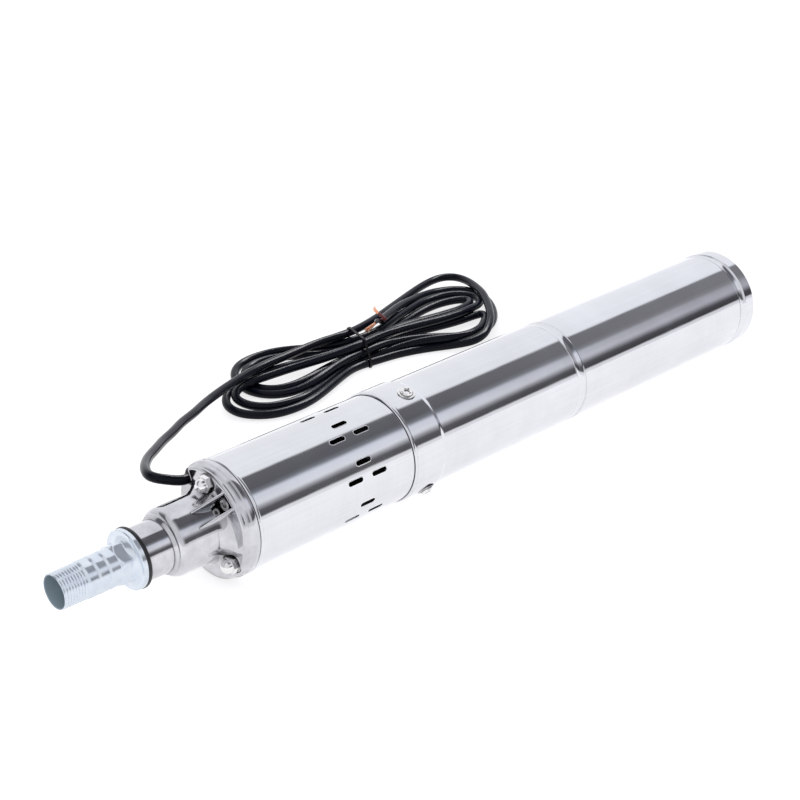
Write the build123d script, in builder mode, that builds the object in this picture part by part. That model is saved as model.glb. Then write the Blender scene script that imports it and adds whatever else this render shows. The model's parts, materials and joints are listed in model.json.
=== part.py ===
from build123d import *
import math
import os

os.makedirs("parts", exist_ok=True)

# Solar submersible screw pump of the 3 inch class, lying on a floor.
# Stations run along the pump from the mouth of its hose nipple, in mm.
# Angles run about the pump's axis from +Y (the far side) towards +Z (up).

# Clearances between pieces
fit_gap = 0.05
running_gap = 0.3
rotor_gap = 0.3

# Barrels and intake sleeve
barrel_radius = 38.0
sheet = 1.0
sleeve_lip_rise = 0.7
sleeve_lip_length = 2.6
sleeve_length = 131.0
collar_rise = 1.3
collar_length = 26.0
collar_taper = 3.5
collar_lip_length = 2.4
collar_lip_rise = 0.55
collar_lip_ramp = 1.0
motor_barrel_length = 163.7
barrel_seam = 0.3
mid_ring_length = 8.4
mid_ring_depth = 0.8
end_barrel_length = 184.0
end_cap_rim_length = 17.7
end_cap_rim_rise = 0.5
end_cap_groove_depth = 1.4
end_cap_groove_length = 7.5

# Hose nipple
nipple_bore_radius = 10.25
thread_radius = 11.6
thread_length = 16.5
thread_chamfer = 0.7
thread_relief = 0.5
barb_count = 3
barb_pitch = 7.6
barb_root_radius = 11.0
barb_crest_radius = 12.1
barb_slope_share = 0.85
hex_across_flats = 25.0
hex_length = 6.7
flare_length = 4.0
nipple_disc_radius = 19.5
nipple_disc_thickness = 3.0
nipple_disc_step = 2.5
spigot_radius = 13.0
spigot_length = 12.0
nipple_seal_radius = 19.9
nipple_seal_thickness = 3.0
nipple_seal_round = 1.2

# Outlet head
neck_radius = 17.5
neck_length = 18.0
step_radius = 18.7
step_length = 2.2
shoulder_length = 6.5
head_body_gap = 7.9
head_body_length = 29.3
web_radius = 8.0
skirt_setback = 0.5
skirt_length = 6.5
skirt_edge = 2.6
head_lip_rise = 0.6
head_lip_length = 5.2
head_lip_bevel = 1.0
head_spigot_length = 7.5
head_passage_radius = 10.25
diffuser_wall = 7.5
diffuser_start = 10.0
diffuser_length = 16.0
stator_seat_depth = 5.0

# Tie rods, acorn nuts and the screw in its ribbed channel
tie_count = 3
tie_rod_wall = 3.45
tie_first_angle = 95.5
tie_rod_radius = 3.0
nut_across_flats = 10.0
nut_hex_height = 4.6
nut_dome_radius = 4.6
nut_height = 10.0
nut_bore_stop = 0.8
nut_pocket_radius = 6.5
nut_pocket_depth = 2.0
washer_radius = 6.0
washer_thickness = 1.2
channel_angle = 131.4
channel_half_width = 4.9
channel_rib = 1.4
channel_rib_length = 19.5
channel_setback = 3.0
channel_depth = 4.0
channel_rim = 1.0
rib_root = 2.0
channel_screw_radius = 2.5
channel_screw_head_radius = 4.2
channel_screw_head_height = 4.5
channel_screw_setback = 9.0
channel_socket_depth = 2.5
channel_socket_flats = 4.0

# Cable entry
cable_radius = 3.3
bend_share = 0.45
lead_first_run = 15.0
gland_angle = 44.0
gland_wall = 1.05
gland_rim_radius = 6.4
gland_rim_length = 4.0
gland_body_radius = 4.7
gland_step = 1.2
cable_pocket_start = -8.0
cable_pocket_end = 62.0
cable_pocket_remains = 2.3

# Intake slots
slot_length = 12.5
slot_width = 3.4
slot_groups = 8
slot_pair_angle = 121.0
slot_single_lead = 16.0
slot_pair_spacing = 20.6
slot_centre_back = 41.0

# Screw pump
stator_tube_gap = 2.0
stator_wall = 1.5
rubber_setback = 2.0
stator_length = 67.0
screw_radius = 9.5
eccentricity = 3.0
screw_pitch = 28.0
screw_overhang = 3.0
shank_radius = 8.0
shank_length = 10.0
rod_end_radius = 4.3
rod_radius = 3.0
rod_span = 55.5
rod_socket_depth = 8.0
tie_rod_embed = 12.0
clamp_plate_thickness = 3.0
clamp_plate_overlap = 5.5
clamp_nut_height = 4.8

# Motor bracket between pump and motor
bracket_lead = 7.0
bracket_tail = 10.0
chamber_radius = 22.0
chamber_depth = 15.0
slinger_clearance = 2.0
seat_bevel = 1.5
bracket_rear_bore = 18.0
bracket_screw_radius = 2.5
bracket_screw_setback = 19.7
bracket_screw_first_angle = 103.5
screw_head_radius = 4.6
screw_head_height = 1.9
screw_head_taper = 25.0
screw_washer_radius = 6.2
screw_washer_thickness = 0.7
bracket_screw_length = 9.0
recess_width = 1.3
recess_depth = 1.2
recess_span = 4.6

# Coupling, seal and bearings
shaft_radius = 5.0
journal_radius = 6.0
coupling_radius = 9.0
coupling_shaft_depth = 5.0
coupling_web = 1.5
slinger_radius = 13.5
slinger_thickness = 2.5
spring_wire_width = 1.2
spring_wire_thickness = 0.9
spring_radius = 8.0
spring_length = 7.0
spring_turns = 3
seal_face_length = 4.0
seal_face_radius = 10.0
seal_seat_radius = 12.5
seal_seat_length = 4.5
seal_lip_length = 1.6
bearing_outer_radius = 14.0
bearing_split_radius = 9.6
bearing_width = 8.0
circlip_thickness = 1.2
circlip_depth = 0.9
circlip_width = 2.4
circlip_gap = 6.0
circlip_land = 1.5
shaft_body_radius = 7.5

# Motor and drive electronics
o_ring_section = 0.9
rear_winding_clearance = 4.5
core_slots = 12
core_slot_width = 6.0
core_slot_inner = 23.0
core_slot_outer = 30.0
core_mouth_width = 2.0
winding_overhang = 12.0
rotor_radius = 19.8
rotor_hub_radius = 15.0
hub_hole_count = 6
hub_hole_radius = 2.0
hub_hole_circle = 11.3
air_gap = 0.6
magnet_count = 4
magnet_break = 8.0
slot_liner = 0.3
winding_clearance = 10.0
lead_radius = 0.95
lead_groove_depth = 2.8
lead_start_spread = 3.8
lead_spread = 5.0
lead_inner_gap = 3.0
lead_hole_radius = 4.5
lead_straight = 3.0
lead_bend_radius = 2.5
lead_pad_spacing = 4.0
core_groove_width = 8.6
packing_radius = 4.8
packing_length = 6.0
bell_web = 4.0
bell_floor = 4.0
bell_lead = 19.0
bell_tail = 18.0
bell_skirt = 5.95
end_spigot_length = 14.0
end_cap_wall = 5.0
end_cap_skirt = 5.95
end_cap_break = 1.2
carrier_offset = 6.0
carrier_thickness = 4.0
carrier_band = 7.95
board_edge = 4.95
board_thickness = 1.6
board_drop = 12.0
board_overhang = 3.0
capacitor_radius = 8.0
capacitor_length = 25.0
capacitor_count = 3
capacitor_spacing = 19.0
transistor_count = 6
transistor_size = 10.0
transistor_thickness = 4.5
transistor_spacing = 13.0
choke_radius = 9.0
choke_tube = 4.0
terminal_length = 12.0
terminal_width = 20.0
terminal_height = 9.0
terminal_y = 12.0
component_y = 16.0
choke_setback = 22.0

# Free cable behind the pump: points of the lead, then the outline of its hank
# The points of the lead are (station, y, height above the floor).
lead_points = [
    (91.4, 37.5, 71.0),
    (93.5, 58.0, 63.5),
    (121.0, 80.5, 44.0),
    (156.0, 107.5, 37.5),
    (194.0, 135.0, 28.0),
    (231.0, 159.5, 19.0),
    (259.0, 174.0, 10.5),
]
hank_outline = [
    (253, 160), (259, 182), (280, 205), (312, 223), (350, 222), (385, 207), (408, 197),
    (445, 206), (500, 231), (548, 245), (573, 236), (577, 214), (560, 182),
    (524, 146), (492, 123), (464, 122), (440, 139), (408, 153), (380, 150),
    (340, 138), (300, 131), (268, 140),
]
hank_height = 16.0
hank_round = 5.0
waist_station = 408.0
waist_y = 175.0
waist_length = 30.0
waist_half_width = 20.0
waist_height = 21.0
tie_width = 3.0
tie_thickness = 1.2
core_radius = 1.2
core_span = 8.0
core_root = (440.0, 178.0, 16.6)
core_first_angle = 85.0
core_angle_step = 32.0
core_rise = 1.0
core_count = 3
copper_radius = 0.8
copper_length = 10.0

# Stations worked out from the lengths above
barb_start = thread_length + thread_relief
hex_start = barb_start + barb_count * barb_pitch
flare_start = hex_start + hex_length
disc_front = flare_start + flare_length
disc_back = disc_front + nipple_disc_thickness
head_face = disc_back + nipple_seal_thickness
neck_end = head_face + neck_length
shoulder_start = neck_end + step_length
shoulder_end = shoulder_start + shoulder_length
flange_face = shoulder_end + head_body_length
lip_start = flange_face + skirt_length
lip_end = lip_start + head_lip_length
head_back = lip_end + head_spigot_length
sleeve_front = lip_end + barrel_seam
sleeve_back = sleeve_front + sleeve_length
barrel_front = sleeve_back + barrel_seam
collar_end = barrel_front + collar_length
barrel_back = barrel_front + motor_barrel_length
mid_ring_front = barrel_back + barrel_seam
mid_ring_back = mid_ring_front + mid_ring_length
end_barrel_front = mid_ring_back + barrel_seam
end_barrel_back = end_barrel_front + end_barrel_length
cap_front = end_barrel_back + barrel_seam
pump_length = cap_front + end_cap_rim_length

# Radii worked out from the sizes above
collar_radius = barrel_radius + collar_rise
barrel_bore = barrel_radius - sheet
inner_radius = barrel_bore - fit_gap
land_radius = collar_radius - sheet - fit_gap
axis_height = collar_radius
rim_radius = barrel_radius + end_cap_rim_rise
lead_circle = inner_radius - lead_groove_depth / 2
tie_circle_radius = inner_radius - tie_rod_wall - tie_rod_radius
gland_circle_radius = inner_radius - gland_wall - gland_body_radius
stator_tube_radius = tie_circle_radius - tie_rod_radius - stator_tube_gap
diffuser_radius = stator_tube_radius - diffuser_wall
clamp_plate_window = stator_tube_radius - clamp_plate_overlap
head_body_radius = tie_circle_radius - head_body_gap
skirt_radius = barrel_radius - skirt_setback
head_lip_radius = barrel_radius + head_lip_rise
channel_outer_radius = barrel_radius - channel_setback
channel_screw_circle = barrel_radius - channel_screw_setback
end_cap_hollow = inner_radius - end_cap_skirt
carrier_window = inner_radius - carrier_band
bell_bore = inner_radius - bell_skirt
lead_inner_circle = bell_bore - lead_inner_gap
board_width = 2 * (inner_radius - board_edge)
core_bore = rotor_radius + air_gap
board_top = axis_height - board_drop + board_thickness / 2
mouth_x = -pump_length / 2

# Stations of the pumping parts
stator_front = head_back - stator_seat_depth
stator_back = stator_front + stator_length
rubber_front = stator_front + rubber_setback
rubber_back = stator_back - rubber_setback
plate_back = stator_back + clamp_plate_thickness
screw_front = rubber_front - screw_overhang
screw_back = rubber_back + screw_overhang
shank_back = screw_back + shank_length
rod_front = shank_back - rod_socket_depth / 2
rod_back = rod_front + rod_span
rod_socket_radius = rod_end_radius + running_gap
coupling_front = rod_back - rod_socket_depth / 2
coupling_web_front = rod_back + rod_end_radius + 2 * running_gap
shaft_front = coupling_web_front + coupling_web
coupling_back = shaft_front + coupling_shaft_depth
slinger_front = coupling_back + running_gap
spring_front = slinger_front + slinger_thickness + fit_gap
spring_back = spring_front + spring_length
seal_face_back = spring_back + seal_face_length
seat_front = seal_face_back + fit_gap
seat_back = seat_front + seal_seat_length
bearing_front = seat_back + seal_lip_length
bearing_back = bearing_front + bearing_width
bracket_front = sleeve_back - bracket_lead
bracket_back = bearing_back + circlip_thickness + circlip_land + bracket_tail
cable_back = bracket_back + 2 * running_gap

# Stations of the motor and the electronics
bell_front = mid_ring_front - bell_lead
core_front = bracket_back + winding_clearance + winding_overhang
core_back = bell_front - rear_winding_clearance - winding_overhang
core_length = core_back - core_front
bell_back = mid_ring_back + bell_tail
rear_bearing_front = bell_front + bell_web
rear_bearing_back = rear_bearing_front + bearing_width
bell_floor_station = rear_bearing_back + bell_floor
cap_spigot_front = cap_front - end_spigot_length
carrier_front = bell_back + carrier_offset
carrier_rear = cap_spigot_front - carrier_offset - carrier_thickness
board_front = carrier_front - board_overhang
board_back = carrier_rear + carrier_thickness + board_overhang

# The plane of the turned profiles holds (station, radius) points
profile = Plane(origin=(mouth_x, 0, axis_height), x_dir=(1, 0, 0), z_dir=(0, -1, 0))
pump_axis = Axis((mouth_x, 0, axis_height), (1, 0, 0))


def section(station, y=0.0):
    """Plane square to the pump's axis, its own x towards +Y and its y up."""
    return Plane(
        origin=(mouth_x + station, y, axis_height), x_dir=(0, 1, 0), z_dir=(1, 0, 0)
    )


def outward(station, angle):
    """Plane through the axis whose normal points outwards at an angle."""
    turn = math.radians(angle)
    normal = (0, math.cos(turn), math.sin(turn))
    return Plane(origin=(mouth_x + station, 0, axis_height), x_dir=(1, 0, 0), z_dir=normal)


def on_circle(radius, angle):
    """Point of a section plane on a circle about the axis."""
    return (radius * math.cos(math.radians(angle)), radius * math.sin(math.radians(angle)))


def turned(points, mode=Mode.ADD):
    """Body of revolution about the pump's axis from (station, radius) points."""
    with BuildSketch(profile) as outline:
        with BuildLine():
            Polyline(*points, close=True)
        make_face()
    revolve(outline.sketch, axis=pump_axis, mode=mode)


def ring(front, back, inner, outer, mode=Mode.ADD):
    """Plain ring, or a disc where the inner radius is zero."""
    turned([(front, inner), (back, inner), (back, outer), (front, outer)], mode)


def round_groove(centre, mode=Mode.SUBTRACT):
    """Groove for an O-ring in a face that fits the barrel's bore."""
    depth = 2 * o_ring_section - fit_gap
    half = o_ring_section + fit_gap
    ring(centre - half, centre + half, inner_radius - depth, barrel_radius, mode)


def rod_between(front, back, radius, circle_radius, angle, mode=Mode.ADD):
    """Round bar parallel to the axis."""
    with BuildSketch(section(front)) as end:
        with Locations(on_circle(circle_radius, angle)):
            Circle(radius)
    extrude(end.sketch, amount=back - front, mode=mode)


def hex_between(front, back, across_flats, circle_radius, angle, mode=Mode.ADD):
    """Hexagonal bar parallel to the axis."""
    with BuildSketch(section(front)) as end:
        with Locations(on_circle(circle_radius, angle)):
            RegularPolygon(across_flats / 2, 6, major_radius=False)
    extrude(end.sketch, amount=back - front, mode=mode)


tie_angles = [tie_first_angle + 360 / tie_count * i for i in range(tie_count)]
pocket_floor = flange_face + nut_pocket_depth
cable_floor = lip_end - cable_pocket_remains
channel_floor = flange_face + channel_depth
gland_nose = cable_floor - gland_rim_length

# Hose nipple: threaded mouth, hose barbs, wrench hexagon, disc and spigot
barbs = []
for i in range(barb_count):
    barbs.append((barb_start + barb_pitch * i, barb_root_radius))
    barbs.append((barb_start + barb_pitch * (i + barb_slope_share), barb_crest_radius))
    barbs.append((barb_start + barb_pitch * (i + 1), barb_crest_radius))
with BuildPart() as hose_nipple:
    turned(
        [(0, nipple_bore_radius), (0, thread_radius - thread_chamfer)]
        + [(thread_chamfer, thread_radius)]
        + [(thread_length, thread_radius)]
        + barbs
        + [(flare_start, barb_crest_radius), (disc_front, nipple_disc_radius - nipple_disc_step)]
        + [(disc_front, nipple_disc_radius), (disc_back, nipple_disc_radius)]
        + [(disc_back, spigot_radius), (disc_back + spigot_length, spigot_radius)]
        + [(disc_back + spigot_length, nipple_bore_radius)]
    )
    hex_between(hex_start, disc_front, hex_across_flats, 0, 0)
    ring(0, disc_back + spigot_length, 0, nipple_bore_radius, Mode.SUBTRACT)
hose_nipple.part.label = "hose_nipple"
export_step(hose_nipple.part, "parts/hose_nipple.step")

# Rubber seal ring between nipple and head
with BuildPart() as nipple_seal:
    ring(disc_back, head_face, spigot_radius + fit_gap, nipple_seal_radius)
    rims = nipple_seal.edges().filter_by(GeomType.CIRCLE).group_by(SortBy.RADIUS)[-1]
    fillet(rims, nipple_seal_round)
nipple_seal.part.label = "nipple_seal"
export_step(nipple_seal.part, "parts/nipple_seal.step")

# Outlet head: neck, rounded shoulder, body, flange with nut pockets and ribbed channel
with BuildPart() as outlet_head:
    with BuildSketch(profile) as head_outline:
        with BuildLine():
            Polyline(
                (head_face, 0),
                (head_face, neck_radius),
                (neck_end, neck_radius),
                (neck_end, step_radius),
                (shoulder_start, step_radius),
            )
            EllipticalCenterArc(
                (shoulder_end, step_radius),
                shoulder_length,
                head_body_radius - step_radius,
                180,
                arc_size=-90,
            )
            Line((shoulder_end, head_body_radius), (flange_face - web_radius, head_body_radius))
            CenterArc(
                (flange_face - web_radius, head_body_radius + web_radius), web_radius, 270, 90
            )
            Line((flange_face, head_body_radius + web_radius), (flange_face, skirt_radius - skirt_edge))
            CenterArc(
                (flange_face + skirt_edge, skirt_radius - skirt_edge), skirt_edge, 90, 90
            )
            Polyline(
                (flange_face + skirt_edge, skirt_radius),
                (lip_start, skirt_radius),
                (lip_start + head_lip_bevel, head_lip_radius),
                (lip_end - head_lip_bevel, head_lip_radius),
                (lip_end, barrel_radius),
                (lip_end, inner_radius),
                (head_back, inner_radius),
                (head_back, 0),
                (head_face, 0),
            )
        make_face()
    revolve(head_outline.sketch, axis=pump_axis)
    # Ribs of the channel, one each side, rising from the body to the flange
    for side in (-1, 1):
        middle = side * (channel_half_width + channel_rib / 2)
        rib_plane = Plane(
            origin=(mouth_x, 0, axis_height),
            x_dir=(1, 0, 0),
            z_dir=Vector(0, -1, 0).rotate(Axis.X, channel_angle - 90),
        )
        with BuildSketch(rib_plane.offset(middle)) as rib:
            with BuildLine():
                Polyline(
                    (flange_face - channel_rib_length, head_body_radius - rib_root),
                    (flange_face - channel_rib_length, head_body_radius),
                    (flange_face, channel_outer_radius),
                    (lip_start, channel_outer_radius),
                    (lip_start, head_body_radius - rib_root),
                    close=True,
                )
            make_face()
        extrude(rib.sketch, amount=channel_rib / 2, both=True)
    # Floor of the channel, sunk into the flange
    channel_height = channel_outer_radius - channel_rim - head_body_radius
    with BuildSketch(section(flange_face - web_radius)) as channel:
        with Locations(on_circle(head_body_radius + channel_height / 2, channel_angle)):
            Rectangle(channel_height, 2 * channel_half_width, rotation=channel_angle)
    extrude(channel.sketch, amount=web_radius + channel_depth, mode=Mode.SUBTRACT)
    # Pockets and holes of the tie rods
    for angle in tie_angles:
        rod_between(
            flange_face - web_radius, pocket_floor, nut_pocket_radius, tie_circle_radius, angle,
            Mode.SUBTRACT,
        )
        rod_between(
            pocket_floor, head_back, tie_rod_radius + fit_gap, tie_circle_radius, angle,
            Mode.SUBTRACT,
        )
    # Open pocket where the cable leaves
    with BuildSketch(section(flange_face - web_radius)) as cable_pocket:
        Circle(collar_radius)
        Circle(head_body_radius, mode=Mode.SUBTRACT)
        middle_angle = (cable_pocket_start + cable_pocket_end) / 2
        with BuildLine():
            Polyline(
                (0, 0),
                on_circle(3 * barrel_radius, cable_pocket_start),
                on_circle(3 * barrel_radius, middle_angle),
                on_circle(3 * barrel_radius, cable_pocket_end),
                close=True,
            )
        make_face(mode=Mode.INTERSECT)
    extrude(cable_pocket.sketch, amount=cable_floor - flange_face + web_radius, mode=Mode.SUBTRACT)
    rod_between(
        cable_floor, head_back, gland_body_radius + fit_gap, gland_circle_radius, gland_angle,
        Mode.SUBTRACT,
    )
    # Screw hole in the channel
    rod_between(
        channel_floor, head_back, channel_screw_radius + fit_gap, channel_screw_circle,
        channel_angle, Mode.SUBTRACT,
    )
    # Waterway: nipple socket, passage, diffuser and stator seat
    turned(
        [
            (head_face, 0),
            (head_face, spigot_radius + fit_gap),
            (disc_back + spigot_length + running_gap, spigot_radius + fit_gap),
            (disc_back + spigot_length + running_gap, head_passage_radius),
            (head_face + diffuser_start + neck_length / 2, head_passage_radius),
            (head_face + diffuser_start + neck_length / 2 + diffuser_length, diffuser_radius),
            (stator_front, diffuser_radius),
            (stator_front, stator_tube_radius + fit_gap),
            (head_back, stator_tube_radius + fit_gap),
            (head_back, 0),
        ],
        Mode.SUBTRACT,
    )
outlet_head.part.label = "outlet_head"
export_step(outlet_head.part, "parts/outlet_head.step")

# Rubber bush of the cable, its rim resting in the open pocket
with BuildPart() as gland_bush:
    rod_between(
        gland_nose + gland_step, cable_floor, gland_rim_radius, gland_circle_radius, gland_angle
    )
    rod_between(
        gland_nose, gland_nose + gland_step, gland_rim_radius - gland_step, gland_circle_radius, gland_angle
    )
    rod_between(
        cable_floor, head_back, gland_body_radius, gland_circle_radius, gland_angle
    )
gland_bush.part.label = "gland_bush"
export_step(gland_bush.part, "parts/gland_bush.step")

# Tie rods from the acorn nuts to the motor bracket
tie_rod_front = pocket_floor - washer_thickness - nut_hex_height + nut_bore_stop
tie_rod_back = bracket_front + tie_rod_embed
with BuildPart() as tie_rods:
    for angle in tie_angles:
        rod_between(tie_rod_front, tie_rod_back, tie_rod_radius, tie_circle_radius, angle)
tie_rods.part.label = "tie_rods"
export_step(tie_rods.part, "parts/tie_rods.step")

# Washers under the acorn nuts
with BuildPart() as nut_washers:
    for angle in tie_angles:
        rod_between(
            pocket_floor - washer_thickness, pocket_floor, washer_radius, tie_circle_radius, angle
        )
        rod_between(
            pocket_floor - washer_thickness, pocket_floor, tie_rod_radius + fit_gap,
            tie_circle_radius, angle, Mode.SUBTRACT,
        )
nut_washers.part.label = "nut_washers"
export_step(nut_washers.part, "parts/nut_washers.step")

# Acorn nuts: hexagon with a domed cap, bored for the rod
nut_face = pocket_floor - washer_thickness
nut_hex_front = nut_face - nut_hex_height
dome_back = nut_face - nut_height + nut_dome_radius
with BuildPart() as acorn_nuts:
    for angle in tie_angles:
        hex_between(nut_hex_front, nut_face, nut_across_flats, tie_circle_radius, angle)
        centre = section(dome_back).from_local_coords(on_circle(tie_circle_radius, angle))
        rod_between(dome_back, nut_hex_front, nut_dome_radius, tie_circle_radius, angle)
        with BuildSketch(Plane(centre, x_dir=(-1, 0, 0), z_dir=(0, 1, 0))) as dome:
            with BuildLine():
                Line((0, 0), (0, nut_dome_radius))
                CenterArc((0, 0), nut_dome_radius, 90, -90)
                Line((nut_dome_radius, 0), (0, 0))
            make_face()
        revolve(dome.sketch, axis=Axis(centre, (1, 0, 0)))
        rod_between(
            tie_rod_front, nut_face, tie_rod_radius + fit_gap, tie_circle_radius, angle,
            Mode.SUBTRACT,
        )
acorn_nuts.part.label = "acorn_nuts"
export_step(acorn_nuts.part, "parts/acorn_nuts.step")

# Socket screw between the ribs of the channel
with BuildPart() as channel_screw:
    head_front = channel_floor - channel_screw_head_height
    rod_between(
        head_front, channel_floor, channel_screw_head_radius, channel_screw_circle, channel_angle
    )
    hex_between(
        head_front, head_front + channel_socket_depth, channel_socket_flats,
        channel_screw_circle, channel_angle, Mode.SUBTRACT
    )
    rod_between(
        channel_floor, head_back - running_gap, channel_screw_radius, channel_screw_circle, channel_angle
    )
channel_screw.part.label = "channel_screw"
export_step(channel_screw.part, "parts/channel_screw.step")

# Intake sleeve with its rolled front lip and groups of slots
pair_station = sleeve_back - slot_centre_back
with BuildPart() as intake_sleeve:
    lip_middle = sleeve_front + sleeve_lip_length / 2
    with BuildSketch(profile) as sleeve_outline:
        with BuildLine():
            Polyline(
                (sleeve_front, barrel_radius),
                (sleeve_front, barrel_bore),
                (sleeve_back, barrel_bore),
                (sleeve_back, barrel_radius),
                (sleeve_front + sleeve_lip_length, barrel_radius),
            )
            ThreePointArc(
                (sleeve_front + sleeve_lip_length, barrel_radius),
                (lip_middle, barrel_radius + sleeve_lip_rise),
                (sleeve_front, barrel_radius),
            )
        make_face()
    revolve(sleeve_outline.sketch, axis=pump_axis)
    for i in range(slot_groups):
        pair_angle = slot_pair_angle + 360 / slot_groups * i
        slots = [
            (pair_station - slot_pair_spacing / 2, pair_angle),
            (pair_station + slot_pair_spacing / 2, pair_angle),
            (pair_station, pair_angle - slot_single_lead),
        ]
        for station, angle in slots:
            with BuildSketch(outward(station, angle)) as slot:
                SlotOverall(slot_length, slot_width)
            extrude(slot.sketch, amount=collar_radius, mode=Mode.SUBTRACT)
intake_sleeve.part.label = "intake_sleeve"
export_step(intake_sleeve.part, "parts/intake_sleeve.step")

# Steel tube round the rubber stator
with BuildPart() as stator_tube:
    ring(stator_front, stator_back, stator_tube_radius - stator_wall, stator_tube_radius)
stator_tube.part.label = "stator_tube"
export_step(stator_tube.part, "parts/stator_tube.step")

# Rubber stator: its two-start cavity turns once in two pitches of the screw
cavity_radius = screw_radius + rotor_gap
cavity_front = rubber_front - rubber_setback
cavity_length = stator_length
half_turn = 180 / screw_pitch
with BuildSketch(section(cavity_front)) as cavity:
    SlotCenterToCenter(4 * eccentricity, 2 * cavity_radius, rotation=-half_turn * rubber_setback)
with BuildPart() as stator_rubber:
    ring(rubber_front, rubber_back, 0, stator_tube_radius - stator_wall - fit_gap)
    add(
        Solid.extrude_linear_with_rotation(
            cavity.sketch.face(),
            section(cavity_front).origin,
            Vector(cavity_length, 0, 0),
            half_turn * cavity_length,
        ),
        mode=Mode.SUBTRACT,
    )
stator_rubber.part.label = "stator_rubber"
export_step(stator_rubber.part, "parts/stator_rubber.step")

# Helical screw rotor: a round section carried off its own axis, which lies off the pump's
screw_length = screw_back - screw_front
screw_start_angle = 360 * (screw_front - rubber_front) / screw_pitch
with BuildSketch(section(screw_front, eccentricity)) as screw_end:
    with Locations(on_circle(eccentricity, screw_start_angle)):
        Circle(screw_radius)
with BuildPart() as screw_rotor:
    add(
        Solid.extrude_linear_with_rotation(
            screw_end.sketch.face(),
            section(screw_front, eccentricity).origin,
            Vector(screw_length, 0, 0),
            360 * screw_length / screw_pitch,
        )
    )
    with BuildSketch(section(screw_back, eccentricity)) as shank:
        Circle(shank_radius)
    extrude(shank.sketch, amount=shank_length)
    with BuildSketch(section(shank_back, eccentricity)) as rod_socket:
        Circle(rod_socket_radius)
    extrude(rod_socket.sketch, amount=-rod_socket_depth - 2 * running_gap, mode=Mode.SUBTRACT)
screw_rotor.part.label = "screw_rotor"
export_step(screw_rotor.part, "parts/screw_rotor.step")

# Connecting rod with a ball at each end, from the screw's axis to the shaft's
rod_start = Vector(mouth_x + rod_front, eccentricity, axis_height)
rod_finish = Vector(mouth_x + rod_back, 0, axis_height)
with BuildPart() as connecting_rod:
    rod_plane = Plane(origin=rod_start, z_dir=rod_finish - rod_start)
    with BuildSketch(rod_plane):
        Circle(rod_radius)
    extrude(amount=(rod_finish - rod_start).length)
    with Locations(rod_start, rod_finish):
        Sphere(rod_end_radius)
connecting_rod.part.label = "connecting_rod"
export_step(connecting_rod.part, "parts/connecting_rod.step")

# Plate that clamps the stator tube, with its nuts on the tie rods
with BuildPart() as clamp_plate:
    ring(stator_back, plate_back, clamp_plate_window, inner_radius)
    for angle in tie_angles:
        rod_between(
            stator_back, plate_back, tie_rod_radius + fit_gap, tie_circle_radius, angle,
            Mode.SUBTRACT,
        )
    rod_between(
        stator_back, plate_back, cable_radius + running_gap, gland_circle_radius, gland_angle,
        Mode.SUBTRACT,
    )
clamp_plate.part.label = "clamp_plate"
export_step(clamp_plate.part, "parts/clamp_plate.step")
with BuildPart() as clamp_nuts:
    for angle in tie_angles:
        hex_between(
            plate_back, plate_back + clamp_nut_height, nut_across_flats, tie_circle_radius, angle
        )
        rod_between(
            plate_back, plate_back + clamp_nut_height, tie_rod_radius + fit_gap,
            tie_circle_radius, angle, Mode.SUBTRACT,
        )
clamp_nuts.part.label = "clamp_nuts"
export_step(clamp_nuts.part, "parts/clamp_nuts.step")

# Motor bracket: water chamber in front, seal and bearing seats, land for the barrel
bracket_screw_station = barrel_front + bracket_screw_setback
bracket_angles = [bracket_screw_first_angle + 360 / tie_count * i for i in range(tie_count)]
screw_hole_floor = land_radius - bracket_screw_length
front_groove = (collar_end + collar_taper + bracket_back) / 2
with BuildPart() as motor_bracket:
    turned(
        [
            (bracket_front, chamber_radius),
            (bracket_front, inner_radius),
            (sleeve_back, inner_radius),
            (sleeve_back, land_radius),
            (collar_end, land_radius),
            (collar_end + collar_taper, inner_radius),
            (bracket_back, inner_radius),
            (bracket_back, bracket_rear_bore),
            (bearing_back + circlip_thickness + circlip_land, bracket_rear_bore),
            (bearing_back + circlip_thickness + circlip_land, bearing_outer_radius + fit_gap),
            (bearing_front, bearing_outer_radius + fit_gap),
            (bearing_front, seal_face_radius),
            (seat_back, seal_face_radius),
            (seat_back, seal_seat_radius + fit_gap),
            (seat_front - seat_bevel, seal_seat_radius + fit_gap),
            (seat_front - 2 * seat_bevel, seal_seat_radius + seat_bevel),
            (bracket_front + chamber_depth, slinger_radius + slinger_clearance),
            (bracket_front + chamber_depth, chamber_radius),
        ]
    )
    round_groove(front_groove)
    ring(
        bearing_back, bearing_back + circlip_thickness, bearing_outer_radius,
        bearing_outer_radius + circlip_depth, Mode.SUBTRACT,
    )
    for angle in tie_angles:
        rod_between(
            bracket_front, tie_rod_back + running_gap, tie_rod_radius + fit_gap,
            tie_circle_radius, angle, Mode.SUBTRACT,
        )
    for angle in bracket_angles:
        hole_plane = outward(bracket_screw_station, angle).offset(screw_hole_floor - fit_gap)
        with BuildSketch(hole_plane) as screw_hole:
            Circle(bracket_screw_radius + fit_gap)
        extrude(screw_hole.sketch, amount=collar_radius - screw_hole_floor, mode=Mode.SUBTRACT)
    rod_between(
        bracket_front, bracket_back, cable_radius + fit_gap, gland_circle_radius, gland_angle,
        Mode.SUBTRACT,
    )
    rod_between(
        bracket_back - packing_length, bracket_back, packing_radius + fit_gap,
        gland_circle_radius, gland_angle, Mode.SUBTRACT,
    )
motor_bracket.part.label = "motor_bracket"
export_step(motor_bracket.part, "parts/motor_bracket.step")

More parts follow.
